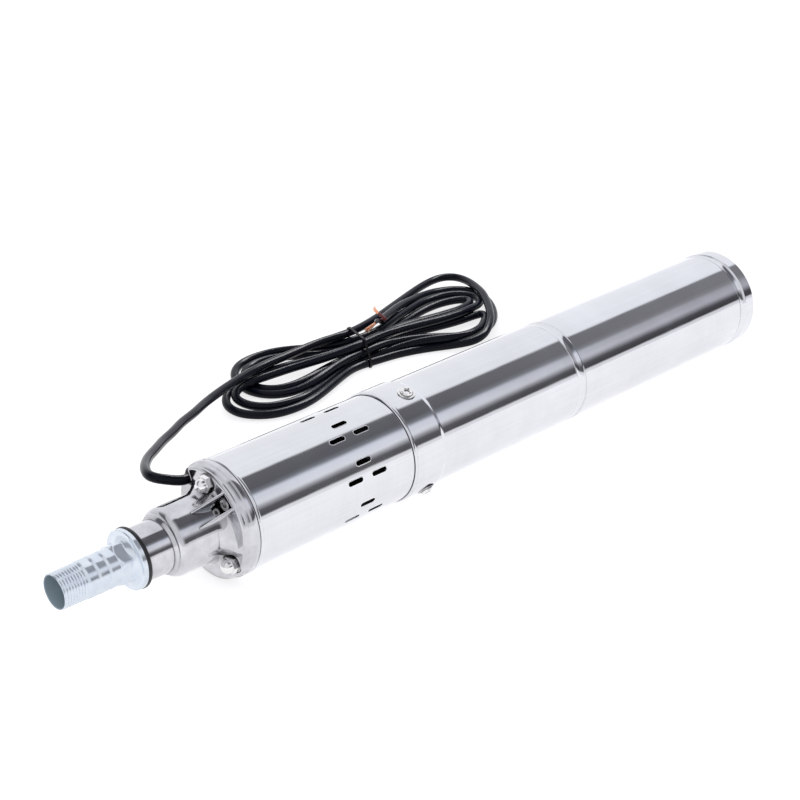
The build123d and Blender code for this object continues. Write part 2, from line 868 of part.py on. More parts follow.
# Rubber packing of the cable in the back of the bracket
with BuildPart() as cable_packing:
    rod_between(
        bracket_back - packing_length, bracket_back, packing_radius, gland_circle_radius,
        gland_angle,
    )
    rod_between(
        bracket_back - packing_length, bracket_back, cable_radius + fit_gap,
        gland_circle_radius, gland_angle, Mode.SUBTRACT,
    )
cable_packing.part.label = "cable_packing"
export_step(cable_packing.part, "parts/cable_packing.step")

# Motor barrel: flared collar with a rolled front lip over the bracket, straight tube behind
lip_root = collar_radius - collar_lip_rise
lip_foot = barrel_front + collar_lip_length
with BuildPart() as motor_barrel:
    with BuildSketch(profile) as barrel_outline:
        with BuildLine():
            ThreePointArc(
                (barrel_front, lip_root),
                ((barrel_front + lip_foot) / 2, collar_radius),
                (lip_foot, lip_root),
            )
            Polyline(
                (lip_foot, lip_root),
                (lip_foot + collar_lip_ramp, collar_radius),
                (collar_end, collar_radius),
                (collar_end + collar_taper, barrel_radius),
                (barrel_back, barrel_radius),
                (barrel_back, barrel_bore),
                (collar_end + collar_taper, barrel_bore),
                (collar_end, collar_radius - sheet),
                (barrel_front, collar_radius - sheet),
                (barrel_front, lip_root),
            )
        make_face()
    revolve(barrel_outline.sketch, axis=pump_axis)
    for angle in bracket_angles:
        with BuildSketch(outward(bracket_screw_station, angle)) as barrel_hole:
            Circle(bracket_screw_radius + fit_gap)
        extrude(barrel_hole.sketch, amount=2 * collar_radius, mode=Mode.SUBTRACT)
motor_barrel.part.label = "motor_barrel"
export_step(motor_barrel.part, "parts/motor_barrel.step")

# Washers and pan head screws that hold the barrel to the bracket
washer_top = collar_radius + screw_washer_thickness
with BuildPart() as screw_washers:
    for angle in bracket_angles:
        with BuildSketch(outward(bracket_screw_station, angle).offset(collar_radius)) as washer:
            Circle(screw_washer_radius)
            Circle(bracket_screw_radius + fit_gap, mode=Mode.SUBTRACT)
        extrude(washer.sketch, amount=screw_washer_thickness)
screw_washers.part.label = "screw_washers"
export_step(screw_washers.part, "parts/screw_washers.step")
with BuildPart() as bracket_screws:
    for angle in bracket_angles:
        with BuildSketch(outward(bracket_screw_station, angle).offset(washer_top)) as head:
            Circle(screw_head_radius)
        extrude(head.sketch, amount=screw_head_height, taper=screw_head_taper)
        with BuildSketch(outward(bracket_screw_station, angle).offset(screw_hole_floor)) as stem:
            Circle(bracket_screw_radius)
        extrude(stem.sketch, amount=washer_top - screw_hole_floor)
        recess_plane = outward(bracket_screw_station, angle).offset(washer_top + screw_head_height)
        with BuildSketch(recess_plane) as recess:
            Rectangle(recess_span, recess_width)
            Rectangle(recess_width, recess_span)
        extrude(recess.sketch, amount=-recess_depth, mode=Mode.SUBTRACT)
bracket_screws.part.label = "bracket_screws"
export_step(bracket_screws.part, "parts/bracket_screws.step")

# Middle bell: joins the barrels, carries the rear bearing and shows as a ring between them
bell_groove_front = (bell_front + mid_ring_front) / 2
bell_groove_back = (mid_ring_back + bell_back) / 2
with BuildPart() as middle_bell:
    with BuildSketch(profile) as bell_outline:
        with BuildLine():
            ThreePointArc(
                (mid_ring_front, barrel_radius),
                ((mid_ring_front + mid_ring_back) / 2, barrel_radius - mid_ring_depth),
                (mid_ring_back, barrel_radius),
            )
            Polyline(
                (mid_ring_back, barrel_radius),
                (mid_ring_back, inner_radius),
                (bell_back, inner_radius),
                (bell_back, bell_bore),
                (bell_floor_station, bell_bore),
                (bell_floor_station, bearing_outer_radius + fit_gap),
                (rear_bearing_front, bearing_outer_radius + fit_gap),
                (rear_bearing_front, shaft_body_radius + running_gap),
                (bell_front, shaft_body_radius + running_gap),
                (bell_front, inner_radius),
                (mid_ring_front, inner_radius),
                (mid_ring_front, barrel_radius),
            )
        make_face()
    revolve(bell_outline.sketch, axis=pump_axis)
    round_groove(bell_groove_front)
    round_groove(bell_groove_back)
    ring(
        rear_bearing_back, rear_bearing_back + circlip_thickness, bearing_outer_radius,
        bearing_outer_radius + circlip_depth, Mode.SUBTRACT,
    )
    rod_between(
        bell_front, bell_floor_station, lead_hole_radius, lead_inner_circle, gland_angle,
        Mode.SUBTRACT,
    )
middle_bell.part.label = "middle_bell"
export_step(middle_bell.part, "parts/middle_bell.step")

# End barrel round the electronics
with BuildPart() as end_barrel:
    ring(end_barrel_front, end_barrel_back, barrel_bore, barrel_radius)
end_barrel.part.label = "end_barrel"
export_step(end_barrel.part, "parts/end_barrel.step")

# End cap: hollow spigot, rounded groove and flat end
cap_groove = (cap_spigot_front + cap_front) / 2
groove_middle = cap_front + end_cap_groove_length / 2
with BuildPart() as end_cap:
    with BuildSketch(profile) as cap_outline:
        with BuildLine():
            Polyline(
                (pump_length - end_cap_wall, 0),
                (pump_length - end_cap_wall, end_cap_hollow),
                (cap_spigot_front, end_cap_hollow),
                (cap_spigot_front, inner_radius),
                (cap_front, inner_radius),
                (cap_front, barrel_radius),
            )
            ThreePointArc(
                (cap_front, barrel_radius),
                (groove_middle, barrel_radius - end_cap_groove_depth),
                (cap_front + end_cap_groove_length, rim_radius),
            )
            Polyline(
                (cap_front + end_cap_groove_length, rim_radius),
                (pump_length - end_cap_break, rim_radius),
                (pump_length, rim_radius - end_cap_break),
                (pump_length, 0),
                (pump_length - end_cap_wall, 0),
            )
        make_face()
    revolve(cap_outline.sketch, axis=pump_axis)
    round_groove(cap_groove)
end_cap.part.label = "end_cap"
export_step(end_cap.part, "parts/end_cap.step")

# O-rings in the four grooves
ring_section = o_ring_section - fit_gap / 2
with BuildPart() as barrel_o_rings:
    for centre in (front_groove, bell_groove_front, bell_groove_back, cap_groove):
        with BuildSketch(profile) as o_ring:
            with Locations((centre, barrel_bore - o_ring_section)):
                Circle(ring_section)
        revolve(o_ring.sketch, axis=pump_axis)
barrel_o_rings.part.label = "barrel_o_rings"
export_step(barrel_o_rings.part, "parts/barrel_o_rings.step")

# Coupling: a socket for the rod's ball in front, the shaft's bore behind
with BuildPart() as shaft_coupling:
    turned(
        [
            (coupling_front, rod_socket_radius),
            (coupling_front, coupling_radius),
            (coupling_back, coupling_radius),
            (coupling_back, shaft_radius),
            (shaft_front, shaft_radius),
            (shaft_front, 0),
            (coupling_web_front, 0),
            (coupling_web_front, rod_socket_radius),
        ]
    )
shaft_coupling.part.label = "shaft_coupling"
export_step(shaft_coupling.part, "parts/shaft_coupling.step")

# Motor shaft with its two journals
shaft_end = rear_bearing_back + circlip_thickness
with BuildPart() as motor_shaft:
    turned(
        [
            (shaft_front, 0),
            (shaft_front, shaft_radius),
            (bearing_front, shaft_radius),
            (bearing_front, journal_radius),
            (bearing_back, journal_radius),
            (bearing_back, shaft_body_radius),
            (rear_bearing_front, shaft_body_radius),
            (rear_bearing_front, journal_radius),
            (shaft_end, journal_radius),
            (shaft_end, 0),
        ]
    )
motor_shaft.part.label = "motor_shaft"
export_step(motor_shaft.part, "parts/motor_shaft.step")

# Rubber disc that throws sand off the seal
with BuildPart() as sand_slinger:
    ring(slinger_front, slinger_front + slinger_thickness, shaft_radius, slinger_radius)
sand_slinger.part.label = "sand_slinger"
export_step(sand_slinger.part, "parts/sand_slinger.step")

# Shaft seal: flat wire spring, turning face and fixed seat
spring_height = spring_length - spring_wire_width
with BuildPart() as seal_spring:
    coil_start = (mouth_x + spring_front + spring_wire_width / 2, 0, axis_height)
    with BuildLine() as coil:
        Helix(
            pitch=spring_height / spring_turns, height=spring_height, radius=spring_radius,
            center=coil_start, direction=(1, 0, 0),
        )
    with BuildSketch(Plane(origin=coil.line @ 0, x_dir=(1, 0, 0), z_dir=coil.line % 0)):
        Rectangle(spring_wire_width, spring_wire_thickness)
    sweep(is_frenet=True)
seal_spring.part.label = "seal_spring"
export_step(seal_spring.part, "parts/seal_spring.step")
with BuildPart() as seal_face:
    ring(spring_back, seal_face_back, shaft_radius, seal_face_radius)
seal_face.part.label = "seal_face"
export_step(seal_face.part, "parts/seal_face.step")
with BuildPart() as seal_seat:
    ring(seat_front, seat_back, shaft_radius + running_gap, seal_seat_radius)
seal_seat.part.label = "seal_seat"
export_step(seal_seat.part, "parts/seal_seat.step")

# Ball bearings as an outer and an inner ring each
bearing_fronts = (bearing_front, rear_bearing_front)
with BuildPart() as bearing_outer_rings:
    for front in bearing_fronts:
        ring(front, front + bearing_width, bearing_split_radius, bearing_outer_radius)
bearing_outer_rings.part.label = "bearing_outer_rings"
export_step(bearing_outer_rings.part, "parts/bearing_outer_rings.step")
with BuildPart() as bearing_inner_rings:
    for front in bearing_fronts:
        ring(front, front + bearing_width, journal_radius, bearing_split_radius - running_gap)
bearing_inner_rings.part.label = "bearing_inner_rings"
export_step(bearing_inner_rings.part, "parts/bearing_inner_rings.step")

# Open rings behind the bearings, in grooves of their seats
circlip_outer = bearing_outer_radius + circlip_depth - fit_gap
with BuildPart() as circlips:
    for front in (bearing_back, rear_bearing_back):
        with BuildSketch(section(front)) as circlip:
            Circle(circlip_outer)
            Circle(circlip_outer - circlip_width, mode=Mode.SUBTRACT)
            with Locations((0, circlip_outer)):
                Rectangle(circlip_gap, 2 * circlip_width + circlip_depth, mode=Mode.SUBTRACT)
        extrude(circlip.sketch, amount=circlip_thickness)
circlips.part.label = "circlips"
export_step(circlips.part, "parts/circlips.step")

# Laminated core of the motor, slotted for the windings
slot_angles = [360 / core_slots * i for i in range(core_slots)]
slot_middle = (core_slot_inner + core_slot_outer) / 2
slot_depth = core_slot_outer - core_slot_inner
with BuildPart() as stator_core:
    with BuildSketch(section(core_front)) as lamination:
        Circle(inner_radius)
        Circle(core_bore, mode=Mode.SUBTRACT)
        for angle in slot_angles:
            with Locations(on_circle(slot_middle, angle)):
                Rectangle(slot_depth, core_slot_width, rotation=angle, mode=Mode.SUBTRACT)
            with Locations(on_circle(core_slot_inner, angle)):
                Rectangle(
                    2 * (core_slot_inner - rotor_radius), core_mouth_width, rotation=angle,
                    mode=Mode.SUBTRACT,
                )
        with Locations(on_circle(inner_radius, gland_angle)):
            Rectangle(
                2 * lead_groove_depth, core_groove_width, rotation=gland_angle,
                mode=Mode.SUBTRACT,
            )
    extrude(lamination.sketch, amount=core_length)
stator_core.part.label = "stator_core"
export_step(stator_core.part, "parts/stator_core.step")

# Windings: a bar in every slot and a bundle of end turns at both ends
coil_inner = core_slot_inner + slot_liner
coil_outer = core_slot_outer - slot_liner
with BuildPart() as windings:
    ring(core_front - winding_overhang, core_front - slot_liner, coil_inner, coil_outer)
    ring(core_back + slot_liner, core_back + winding_overhang, coil_inner, coil_outer)
    with BuildSketch(section(core_front - winding_overhang / 2)) as bars:
        for angle in slot_angles:
            with Locations(on_circle(slot_middle, angle)):
                Rectangle(
                    slot_depth - 3 * slot_liner, core_slot_width - 2 * slot_liner,
                    rotation=angle,
                )
    extrude(bars.sketch, amount=core_length + winding_overhang)
windings.part.label = "windings"
export_step(windings.part, "parts/windings.step")

# Rotor hub on the shaft and the magnets round it
with BuildPart() as rotor_hub:
    ring(core_front, core_back, shaft_body_radius, rotor_hub_radius)
    for i in range(hub_hole_count):
        rod_between(
            core_front, core_back, hub_hole_radius, hub_hole_circle, 360 / hub_hole_count * i,
            Mode.SUBTRACT,
        )
rotor_hub.part.label = "rotor_hub"
export_step(rotor_hub.part, "parts/rotor_hub.step")
with BuildPart() as rotor_magnets:
    ring(core_front, core_back, rotor_hub_radius, rotor_radius)
    with BuildSketch(section(core_front)) as magnet_gaps:
        for i in range(magnet_count):
            angle = 360 / magnet_count * i
            with Locations(on_circle(rotor_radius, angle)):
                Rectangle(rotor_radius, magnet_break, rotation=angle)
    extrude(magnet_gaps.sketch, amount=core_length, mode=Mode.SUBTRACT)
rotor_magnets.part.label = "rotor_magnets"
export_step(rotor_magnets.part, "parts/rotor_magnets.step")

# Cable inside the pump, from its bush in the head to the back of the bracket
with BuildPart() as inner_cable:
    rod_between(head_back, cable_back, cable_radius, gland_circle_radius, gland_angle)
inner_cable.part.label = "inner_cable"
export_step(inner_cable.part, "parts/inner_cable.step")

# Three leads from the cable along the core's groove and through the bell to the board
terminal_front = carrier_front + carrier_thickness + carrier_offset
with BuildPart() as power_leads:
    for side in (-1, 0, 1):
        start = on_circle(gland_circle_radius, gland_angle + lead_start_spread * side)
        along = on_circle(lead_circle, gland_angle + lead_spread * side)
        inside = on_circle(lead_inner_circle, gland_angle + lead_spread * side)
        pad = (terminal_y - lead_pad_spacing * side, board_top - axis_height + terminal_height / 2)
        stops = [
            (cable_back, start),
            (cable_back + lead_straight, start),
            (core_front - lead_straight, along),
            (core_back + winding_overhang - lead_straight, along),
            (bell_front - running_gap, inside),
            (bell_floor_station + lead_straight, inside),
            (terminal_front - 2 * lead_straight, pad),
            (terminal_front, pad),
        ]
        with BuildLine() as lead_route:
            FilletPolyline(
                *[(mouth_x + x, y, axis_height + z) for x, (y, z) in stops],
                radius=lead_bend_radius,
            )
        with BuildSketch(Plane(origin=lead_route.line @ 0, z_dir=lead_route.line % 0)) as wire:
            Circle(lead_radius)
        sweep(wire.sketch, path=lead_route.line)
power_leads.part.label = "power_leads"
export_step(power_leads.part, "parts/power_leads.step")

# Board of the motor's controller, held by a slotted ring at each end
board_middle = mouth_x + (board_front + board_back) / 2
with BuildPart() as controller_board:
    with Locations((board_middle, 0, axis_height - board_drop)):
        Box(board_back - board_front, board_width, board_thickness)
controller_board.part.label = "controller_board"
export_step(controller_board.part, "parts/controller_board.step")
with BuildPart() as board_carriers:
    for front in (carrier_front, carrier_rear):
        ring(front, front + carrier_thickness, carrier_window, inner_radius)
    with Locations((board_middle, 0, axis_height - board_drop)):
        Box(
            board_back - board_front, board_width + 2 * fit_gap, board_thickness + 2 * fit_gap,
            mode=Mode.SUBTRACT,
        )
board_carriers.part.label = "board_carriers"
export_step(board_carriers.part, "parts/board_carriers.step")

# Components on the board
with BuildPart() as terminal_block:
    with Locations(
        (mouth_x + terminal_front + terminal_length / 2, terminal_y, board_top + terminal_height / 2)
    ):
        Box(terminal_length, terminal_width, terminal_height)
terminal_block.part.label = "terminal_block"
export_step(terminal_block.part, "parts/terminal_block.step")
with BuildPart() as capacitors:
    with BuildSketch(Plane.XY.offset(board_top)) as cans:
        with Locations((board_middle, component_y)):
            with GridLocations(capacitor_spacing, 0, capacitor_count, 1):
                Circle(capacitor_radius)
    extrude(cans.sketch, amount=capacitor_length)
capacitors.part.label = "capacitors"
export_step(capacitors.part, "parts/capacitors.step")
with BuildPart() as power_transistors:
    with BuildSketch(Plane.XY.offset(board_top)) as bodies:
        with Locations((board_middle, -component_y)):
            with GridLocations(transistor_spacing, 0, transistor_count, 1):
                Rectangle(transistor_size, transistor_thickness)
    extrude(bodies.sketch, amount=transistor_size)
power_transistors.part.label = "power_transistors"
export_step(power_transistors.part, "parts/power_transistors.step")
with BuildPart() as choke_coil:
    with Locations((mouth_x + board_back - choke_setback, 0, board_top + choke_tube)):
        Torus(choke_radius, choke_tube)
choke_coil.part.label = "choke_coil"
export_step(choke_coil.part, "parts/choke_coil.step")

# Lead of the cable from the bush up and over to its hank on the floor
lead_start = on_circle(gland_circle_radius, gland_angle)
route = [
    (mouth_x + gland_nose, lead_start[0], axis_height + lead_start[1]),
    (mouth_x + gland_nose - lead_first_run, lead_start[0], axis_height + lead_start[1]),
]
route += [(mouth_x + x, y, z) for x, y, z in lead_points]
bend_radii = []
for before, corner, after in zip(route, route[1:], route[2:]):
    run_in = Vector(corner) - Vector(before)
    run_out = Vector(after) - Vector(corner)
    half_bend = math.radians(run_in.get_angle(run_out) / 2)
    bend_radii.append(bend_share * min(run_in.length, run_out.length) / math.tan(half_bend))
print("bend radii of the lead:", [round(radius, 1) for radius in bend_radii])
with BuildPart() as cable_lead:
    with BuildLine() as lead_line:
        FilletPolyline(*route, radius=bend_radii)
    with BuildSketch(Plane(origin=lead_line.line @ 0, z_dir=lead_line.line % 0)) as lead_end:
        Circle(cable_radius)
    sweep(lead_end.sketch, path=lead_line.line)
lead_length = sum(edge.length for edge in lead_line.edges())
print("length of the lead:", round(lead_length, 1))
cable_lead.part.label = "cable_lead"
export_step(cable_lead.part, "parts/cable_lead.step")

# Hank of the cable: a flat bundle of turns pinched at its waist by the tie
waist_plane = Plane(
    origin=(mouth_x + waist_station, waist_y, tie_thickness + waist_height / 2),
    x_dir=(0, 1, 0),
    z_dir=(1, 0, 0),
)
with BuildPart() as cable_hank:
    with BuildSketch(Plane.XY) as hank_shape:
        with BuildLine():
            Spline(*[(mouth_x + x, y) for x, y in hank_outline], periodic=True)
        make_face()
    extrude(hank_shape.sketch, amount=hank_height)
    fillet(cable_hank.edges().group_by(Axis.Z)[-1], hank_round)
    with BuildSketch(waist_plane) as waist:
        Ellipse(waist_half_width, waist_height / 2)
    extrude(waist.sketch, amount=waist_length / 2, both=True)
    # Room for the tie all round the waist
    with BuildSketch(waist_plane) as tie_room:
        Rectangle(2 * waist_length, 3 * waist_height)
        Ellipse(waist_half_width, waist_height / 2, mode=Mode.SUBTRACT)
    extrude(tie_room.sketch, amount=tie_width / 2 + fit_gap, both=True, mode=Mode.SUBTRACT)
cable_hank.part.label = "cable_hank"
export_step(cable_hank.part, "parts/cable_hank.step")

# Tie round the waist with its head and tail
with BuildPart() as cable_tie:
    with BuildSketch(waist_plane) as band:
        Ellipse(waist_half_width + tie_thickness, waist_height / 2 + tie_thickness)
        Ellipse(waist_half_width, waist_height / 2, mode=Mode.SUBTRACT)
    extrude(band.sketch, amount=tie_width / 2, both=True)
cable_tie.part.label = "cable_tie"
export_step(cable_tie.part, "parts/cable_tie.step")

# Cores of the cable's far end and their bared copper
core_start = Vector(mouth_x + core_root[0], core_root[1], core_root[2])
core_directions = []
for i in range(core_count):
    turn = math.radians(core_first_angle + core_angle_step * i)
    heading = Vector(core_span * math.cos(turn), core_span * math.sin(turn), core_rise)
    core_directions.append(heading.normalized())
with BuildPart() as cable_cores:
    for heading in core_directions:
        with BuildSketch(Plane(origin=core_start, z_dir=heading)) as core_section:
            Circle(core_radius)
        extrude(core_section.sketch, amount=core_span)
cable_cores.part.label = "cable_cores"
export_step(cable_cores.part, "parts/cable_cores.step")
with BuildPart() as copper_tips:
    for heading in core_directions:
        tip_plane = Plane(origin=core_start + heading * core_span, z_dir=heading)
        with BuildSketch(tip_plane) as copper_section:
            Circle(copper_radius)
        extrude(copper_section.sketch, amount=copper_length)
copper_tips.part.label = "copper_tips"
export_step(copper_tips.part, "parts/copper_tips.step")
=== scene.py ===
import bmesh
import bpy
import json
import math
import numpy as np
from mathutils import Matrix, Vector


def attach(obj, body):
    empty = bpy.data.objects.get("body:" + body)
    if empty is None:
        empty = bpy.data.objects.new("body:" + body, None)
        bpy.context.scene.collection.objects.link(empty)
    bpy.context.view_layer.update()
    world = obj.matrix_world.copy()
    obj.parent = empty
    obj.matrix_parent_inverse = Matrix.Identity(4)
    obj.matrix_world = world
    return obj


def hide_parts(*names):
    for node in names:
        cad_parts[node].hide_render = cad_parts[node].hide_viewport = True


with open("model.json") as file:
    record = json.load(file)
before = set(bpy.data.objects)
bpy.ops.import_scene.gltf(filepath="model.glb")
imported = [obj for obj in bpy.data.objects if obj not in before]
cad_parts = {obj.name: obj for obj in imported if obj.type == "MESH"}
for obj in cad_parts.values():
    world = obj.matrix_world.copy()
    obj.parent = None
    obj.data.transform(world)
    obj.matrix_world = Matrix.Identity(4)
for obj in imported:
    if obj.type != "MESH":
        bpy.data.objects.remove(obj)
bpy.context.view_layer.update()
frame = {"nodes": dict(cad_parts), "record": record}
nodes = frame["nodes"]

# Lengths are in mm and angles in degrees unless a line says otherwise. Stations are counted
# from the pump's mouth along +X.
MM = 0.001
PUMP_LENGTH = 630.5
MOUTH = -PUMP_LENGTH / 2
AXIS = 39.3
TURN = 2 * math.pi


def show(name, data):
    """New object of the scene around a mesh, a curve, a lamp or a camera."""
    piece = bpy.data.objects.new(name, data)
    bpy.context.scene.collection.objects.link(piece)
    return piece


# Materials
EVEN = (1, 1, 1)
ROUND_THE_AXIS = (800, 12, 12)
BROAD_WAVES = (22, 45, 45)
GRAIN_DEPTH = 0.0001  # metres
WAVE_DEPTH = 0.0004  # metres
NOISE_ROUGHNESS = 0.55
NOISE_LOW, NOISE_HIGH = 0.3, 0.7  # the values between which most of a noise lies
FINE, SOFT, BROAD = 4.0, 3.0, 2.0  # how much detail a noise has
BROADER = 12  # how much wider the patches of tone are than the grain of a plain material
# Open share of a place's surroundings at which the painted shade is darkest and at which it
# ends, the tone that it leaves at its darkest, and the rays that look for it
CLOSED, OPEN = 0.30, 0.90
PAINTED_SHADE_TONE = 0.30
PAINTED_SHADE_RAYS = 12


def new_material(name):
    mat = bpy.data.materials.new(name)
    mat.use_nodes = True
    tree = mat.node_tree
    return mat, tree, tree.nodes["Principled BSDF"]


def fill(tree, node, values):
    """Links each value that is a socket to the node's input, and sets any other there."""
    for key, value in values.items():
        if isinstance(value, bpy.types.NodeSocket):
            tree.links.new(value, node.inputs[key])
        else:
            node.inputs[key].default_value = value


def add_node(tree, kind, values, **settings):
    """New shader node with its settings and the values of its inputs."""
    node = tree.nodes.new("ShaderNode" + kind)
    for key, value in settings.items():
        setattr(node, key, value)
    fill(tree, node, values)
    return node


def noise(tree, stretch, scale, detail):
    """Noise over object coordinates that are stretched by a factor along each axis."""
    coords = add_node(tree, "TexCoord", {})
    mapping = add_node(tree, "Mapping", {"Vector": coords.outputs["Object"], "Scale": stretch})
    values = {"Vector": mapping.outputs["Vector"], "Scale": scale, "Detail": detail}
    values["Roughness"] = NOISE_ROUGHNESS
    return add_node(tree, "TexNoise", values).outputs["Fac"]


def ramp(tree, fac, stops):
    """Colour ramp over a value; stops are (position, (r, g, b))."""
    node = add_node(tree, "ValToRGB", {"Fac": fac})
    elements = node.color_ramp.elements
    while len(elements) < len(stops):
        elements.new(0.5)
    for element, (position, colour) in zip(elements, stops):
        element.position = position
        element.color = (*colour, 1.0)
    return node.outputs["Color"]


def span(tree, value, low, high, start=NOISE_LOW, end=NOISE_HIGH):
    """The value's stretch from start to end, brought to low and high."""
    values = {"Value": value, "From Min": start, "From Max": end, "To Min": low, "To Max": high}
    return add_node(tree, "MapRange", values).outputs["Result"]


def bump(tree, height, strength, distance, under=None):
    """Normal of a bumped surface, on top of another bump's normal where one is given."""
    values = {"Height": height, "Strength": strength, "Distance": distance}
    if under is not None:
        values["Normal"] = under
    return add_node(tree, "Bump", values).outputs["Normal"]


def shaded(tree, colour, factor):
    """Colour scaled by a value."""
    node = add_node(tree, "VectorMath", {0: colour, "Scale": factor}, operation="SCALE")
    return node.outputs["Vector"]


def painted_shade(tree, colour, reach):
    """Colour darkened as painted shade where other surfaces close a place in; reach is in metres.
    """
    near = add_node(tree, "AmbientOcclusion", {"Distance": reach}, samples=PAINTED_SHADE_RAYS)
    tone = span(tree, near.outputs["AO"], PAINTED_SHADE_TONE, 1.0, CLOSED, OPEN)
    return shaded(tree, colour, tone)


def metal(
    name, dark, light, rough, grain, depth, smear=60.0, waves=0.0, metallic=1.0, streak=0.0,
    shade_reach=0.0,
):
    """Metal whose tone, roughness and surface vary with a stretched grain and soft smears.

    waves bends the surface softly, streak draws faint lines of tone along and round it, and
    the last argument is how far painted shade reaches out of recesses, in metres.
    """
    mat, tree, bsdf = new_material(name)
    lines = noise(tree, grain, 1.0, FINE)
    smears = noise(tree, EVEN, smear, SOFT)
    colour = ramp(tree, smears, [(NOISE_LOW, dark), (NOISE_HIGH, light)])
    if streak:
        turns = noise(tree, ROUND_THE_AXIS, 1.0, SOFT)
        colour = shaded(tree, colour, span(tree, lines, 1 - streak, 1 + streak / 2))
        colour = shaded(tree, colour, span(tree, turns, 1 - streak / 2, 1 + streak / 3))
    # Painted shade: darkest in recesses and where other surfaces are near
    if shade_reach:
        colour = painted_shade(tree, colour, shade_reach)
    under = None
    if waves:
        under = bump(tree, noise(tree, BROAD_WAVES, 1.0, BROAD), waves, WAVE_DEPTH)
    fill(tree, bsdf, {
        "Base Color": colour,
        "Roughness": span(tree, smears, *rough),
        "Metallic": metallic,
        "Normal": bump(tree, lines, depth, GRAIN_DEPTH, under),
    })
    return mat


def plain(name, dark, light, rough, scale=400.0, depth=0.15, shine=0.5, glow=0.0):
    """Rubber, plastic or paint with a fine grain; glow is the strength of its own light."""
    mat, tree, bsdf = new_material(name)
    fine = noise(tree, EVEN, scale, FINE)
    broad = noise(tree, EVEN, scale / BROADER, BROAD)
    colour = ramp(tree, broad, [(NOISE_LOW, dark), (NOISE_HIGH, light)])
    fill(tree, bsdf, {
        "Base Color": colour,
        "Roughness": span(tree, fine, *rough),
        "Specular IOR Level": shine,
        "Normal": bump(tree, fine, depth, GRAIN_DEPTH),
    })
    if glow:
        fill(tree, bsdf, {"Emission Color": colour, "Emission Strength": glow})
    return mat


# Each material: dark and light tone, lowest and highest roughness, and for a metal the
# stretch of its grain along X, Y and Z with the depth of that grain
barrel_steel = metal(
    "barrel_steel", (0.73, 0.735, 0.76), (0.79, 0.80, 0.83), (0.05, 0.12), (14, 500, 500), 0.07,
    smear=22.0, waves=0.25, streak=0.025,
)
# The head carries painted shade in its recesses
head_steel = metal(
    "head_steel", (0.54, 0.54, 0.56), (0.70, 0.70, 0.73), (0.05, 0.12), (250, 250, 250), 0.08,
    smear=90.0, shade_reach=0.010,
)
zinc = metal(
    "zinc", (0.78, 0.85, 0.95), (0.88, 0.94, 1.0), (0.09, 0.18), (420, 420, 420), 0.15,
    smear=160.0, metallic=0.6,
)
# The fasteners carry painted shade where they sit close to other parts
fastener = metal(
    "fastener", (0.80, 0.79, 0.785), (0.94, 0.93, 0.925), (0.10, 0.18), (300, 300, 300), 0.12,
    smear=200.0, shade_reach=0.004,
)
# Painted shade: the sleeve's inside, much darker than its steel
painted_shade_inner = metal(
    "painted_shade_inner", (0.030, 0.030, 0.033), (0.055, 0.055, 0.06), (0.4, 0.6), (60, 500, 500), 0.2,
    smear=90.0,
)
# Painted shade: a near-black steel for the parts inside the pump, far darker than their own finish,
# so that they stay dark behind the slots
painted_shade_steel = metal(
    "painted_shade_steel", (0.05, 0.05, 0.055), (0.09, 0.09, 0.10), (0.35, 0.5), (60, 500, 500), 0.2,
    smear=90.0,
)
edge_steel = metal(
    "edge_steel", (0.88, 0.89, 0.91), (0.96, 0.97, 0.98), (0.35, 0.5), (500, 500, 500), 0.2,
    smear=300.0,
)
machined = metal(
    "machined", (0.50, 0.50, 0.52), (0.62, 0.62, 0.64), (0.22, 0.36), (900, 60, 60), 0.2,
    smear=120.0,
)
chromed = metal(
    "chromed", (0.72, 0.73, 0.75), (0.82, 0.83, 0.85), (0.05, 0.10), (200, 200, 200), 0.05,
)
magnet = metal(
    "magnet", (0.24, 0.24, 0.26), (0.34, 0.34, 0.36), (0.25, 0.4), (200, 200, 200), 0.1,
)
copper = metal(
    "copper", (0.80, 0.36, 0.20), (0.95, 0.52, 0.33), (0.18, 0.35), (900, 900, 900), 0.5,
    smear=900.0,
)
rubber = plain("rubber", (0.006, 0.006, 0.008), (0.016, 0.016, 0.02), (0.30, 0.45))
jacket = plain(
    "jacket", (0.003, 0.004, 0.008), (0.005, 0.0065, 0.013), (0.20, 0.25),
    scale=120.0, depth=0.01, shine=0.12,
)
# The nipple's bore: a flat bluish tone with a faint glow of its own, painted light in place of lit
# zinc
bore_painted_glow = plain("bore_painted_glow", (0.30, 0.38, 0.43), (0.40, 0.49, 0.55), (0.4, 0.6), glow=0.06)
carbon = plain("carbon", (0.02, 0.02, 0.022), (0.05, 0.05, 0.055), (0.3, 0.5))
ceramic = plain("ceramic", (0.80, 0.78, 0.72), (0.90, 0.88, 0.84), (0.12, 0.22))
red_jacket = plain("red_jacket", (0.10, 0.008, 0.008), (0.20, 0.015, 0.012), (0.3, 0.45))
white_jacket = plain("white_jacket", (0.22, 0.22, 0.23), (0.32, 0.32, 0.33), (0.35, 0.5))
board_green = plain("board_green", (0.01, 0.12, 0.05), (0.03, 0.20, 0.09), (0.2, 0.35))
black_plastic = plain(
    "black_plastic", (0.004, 0.004, 0.005), (0.010, 0.010, 0.012), (0.3, 0.45), shine=0.2,
)
blue_plastic = plain("blue_plastic", (0.03, 0.09, 0.28), (0.06, 0.16, 0.40), (0.25, 0.4))
choke_yellow = plain("choke_yellow", (0.55, 0.42, 0.05), (0.72, 0.58, 0.12), (0.3, 0.45))

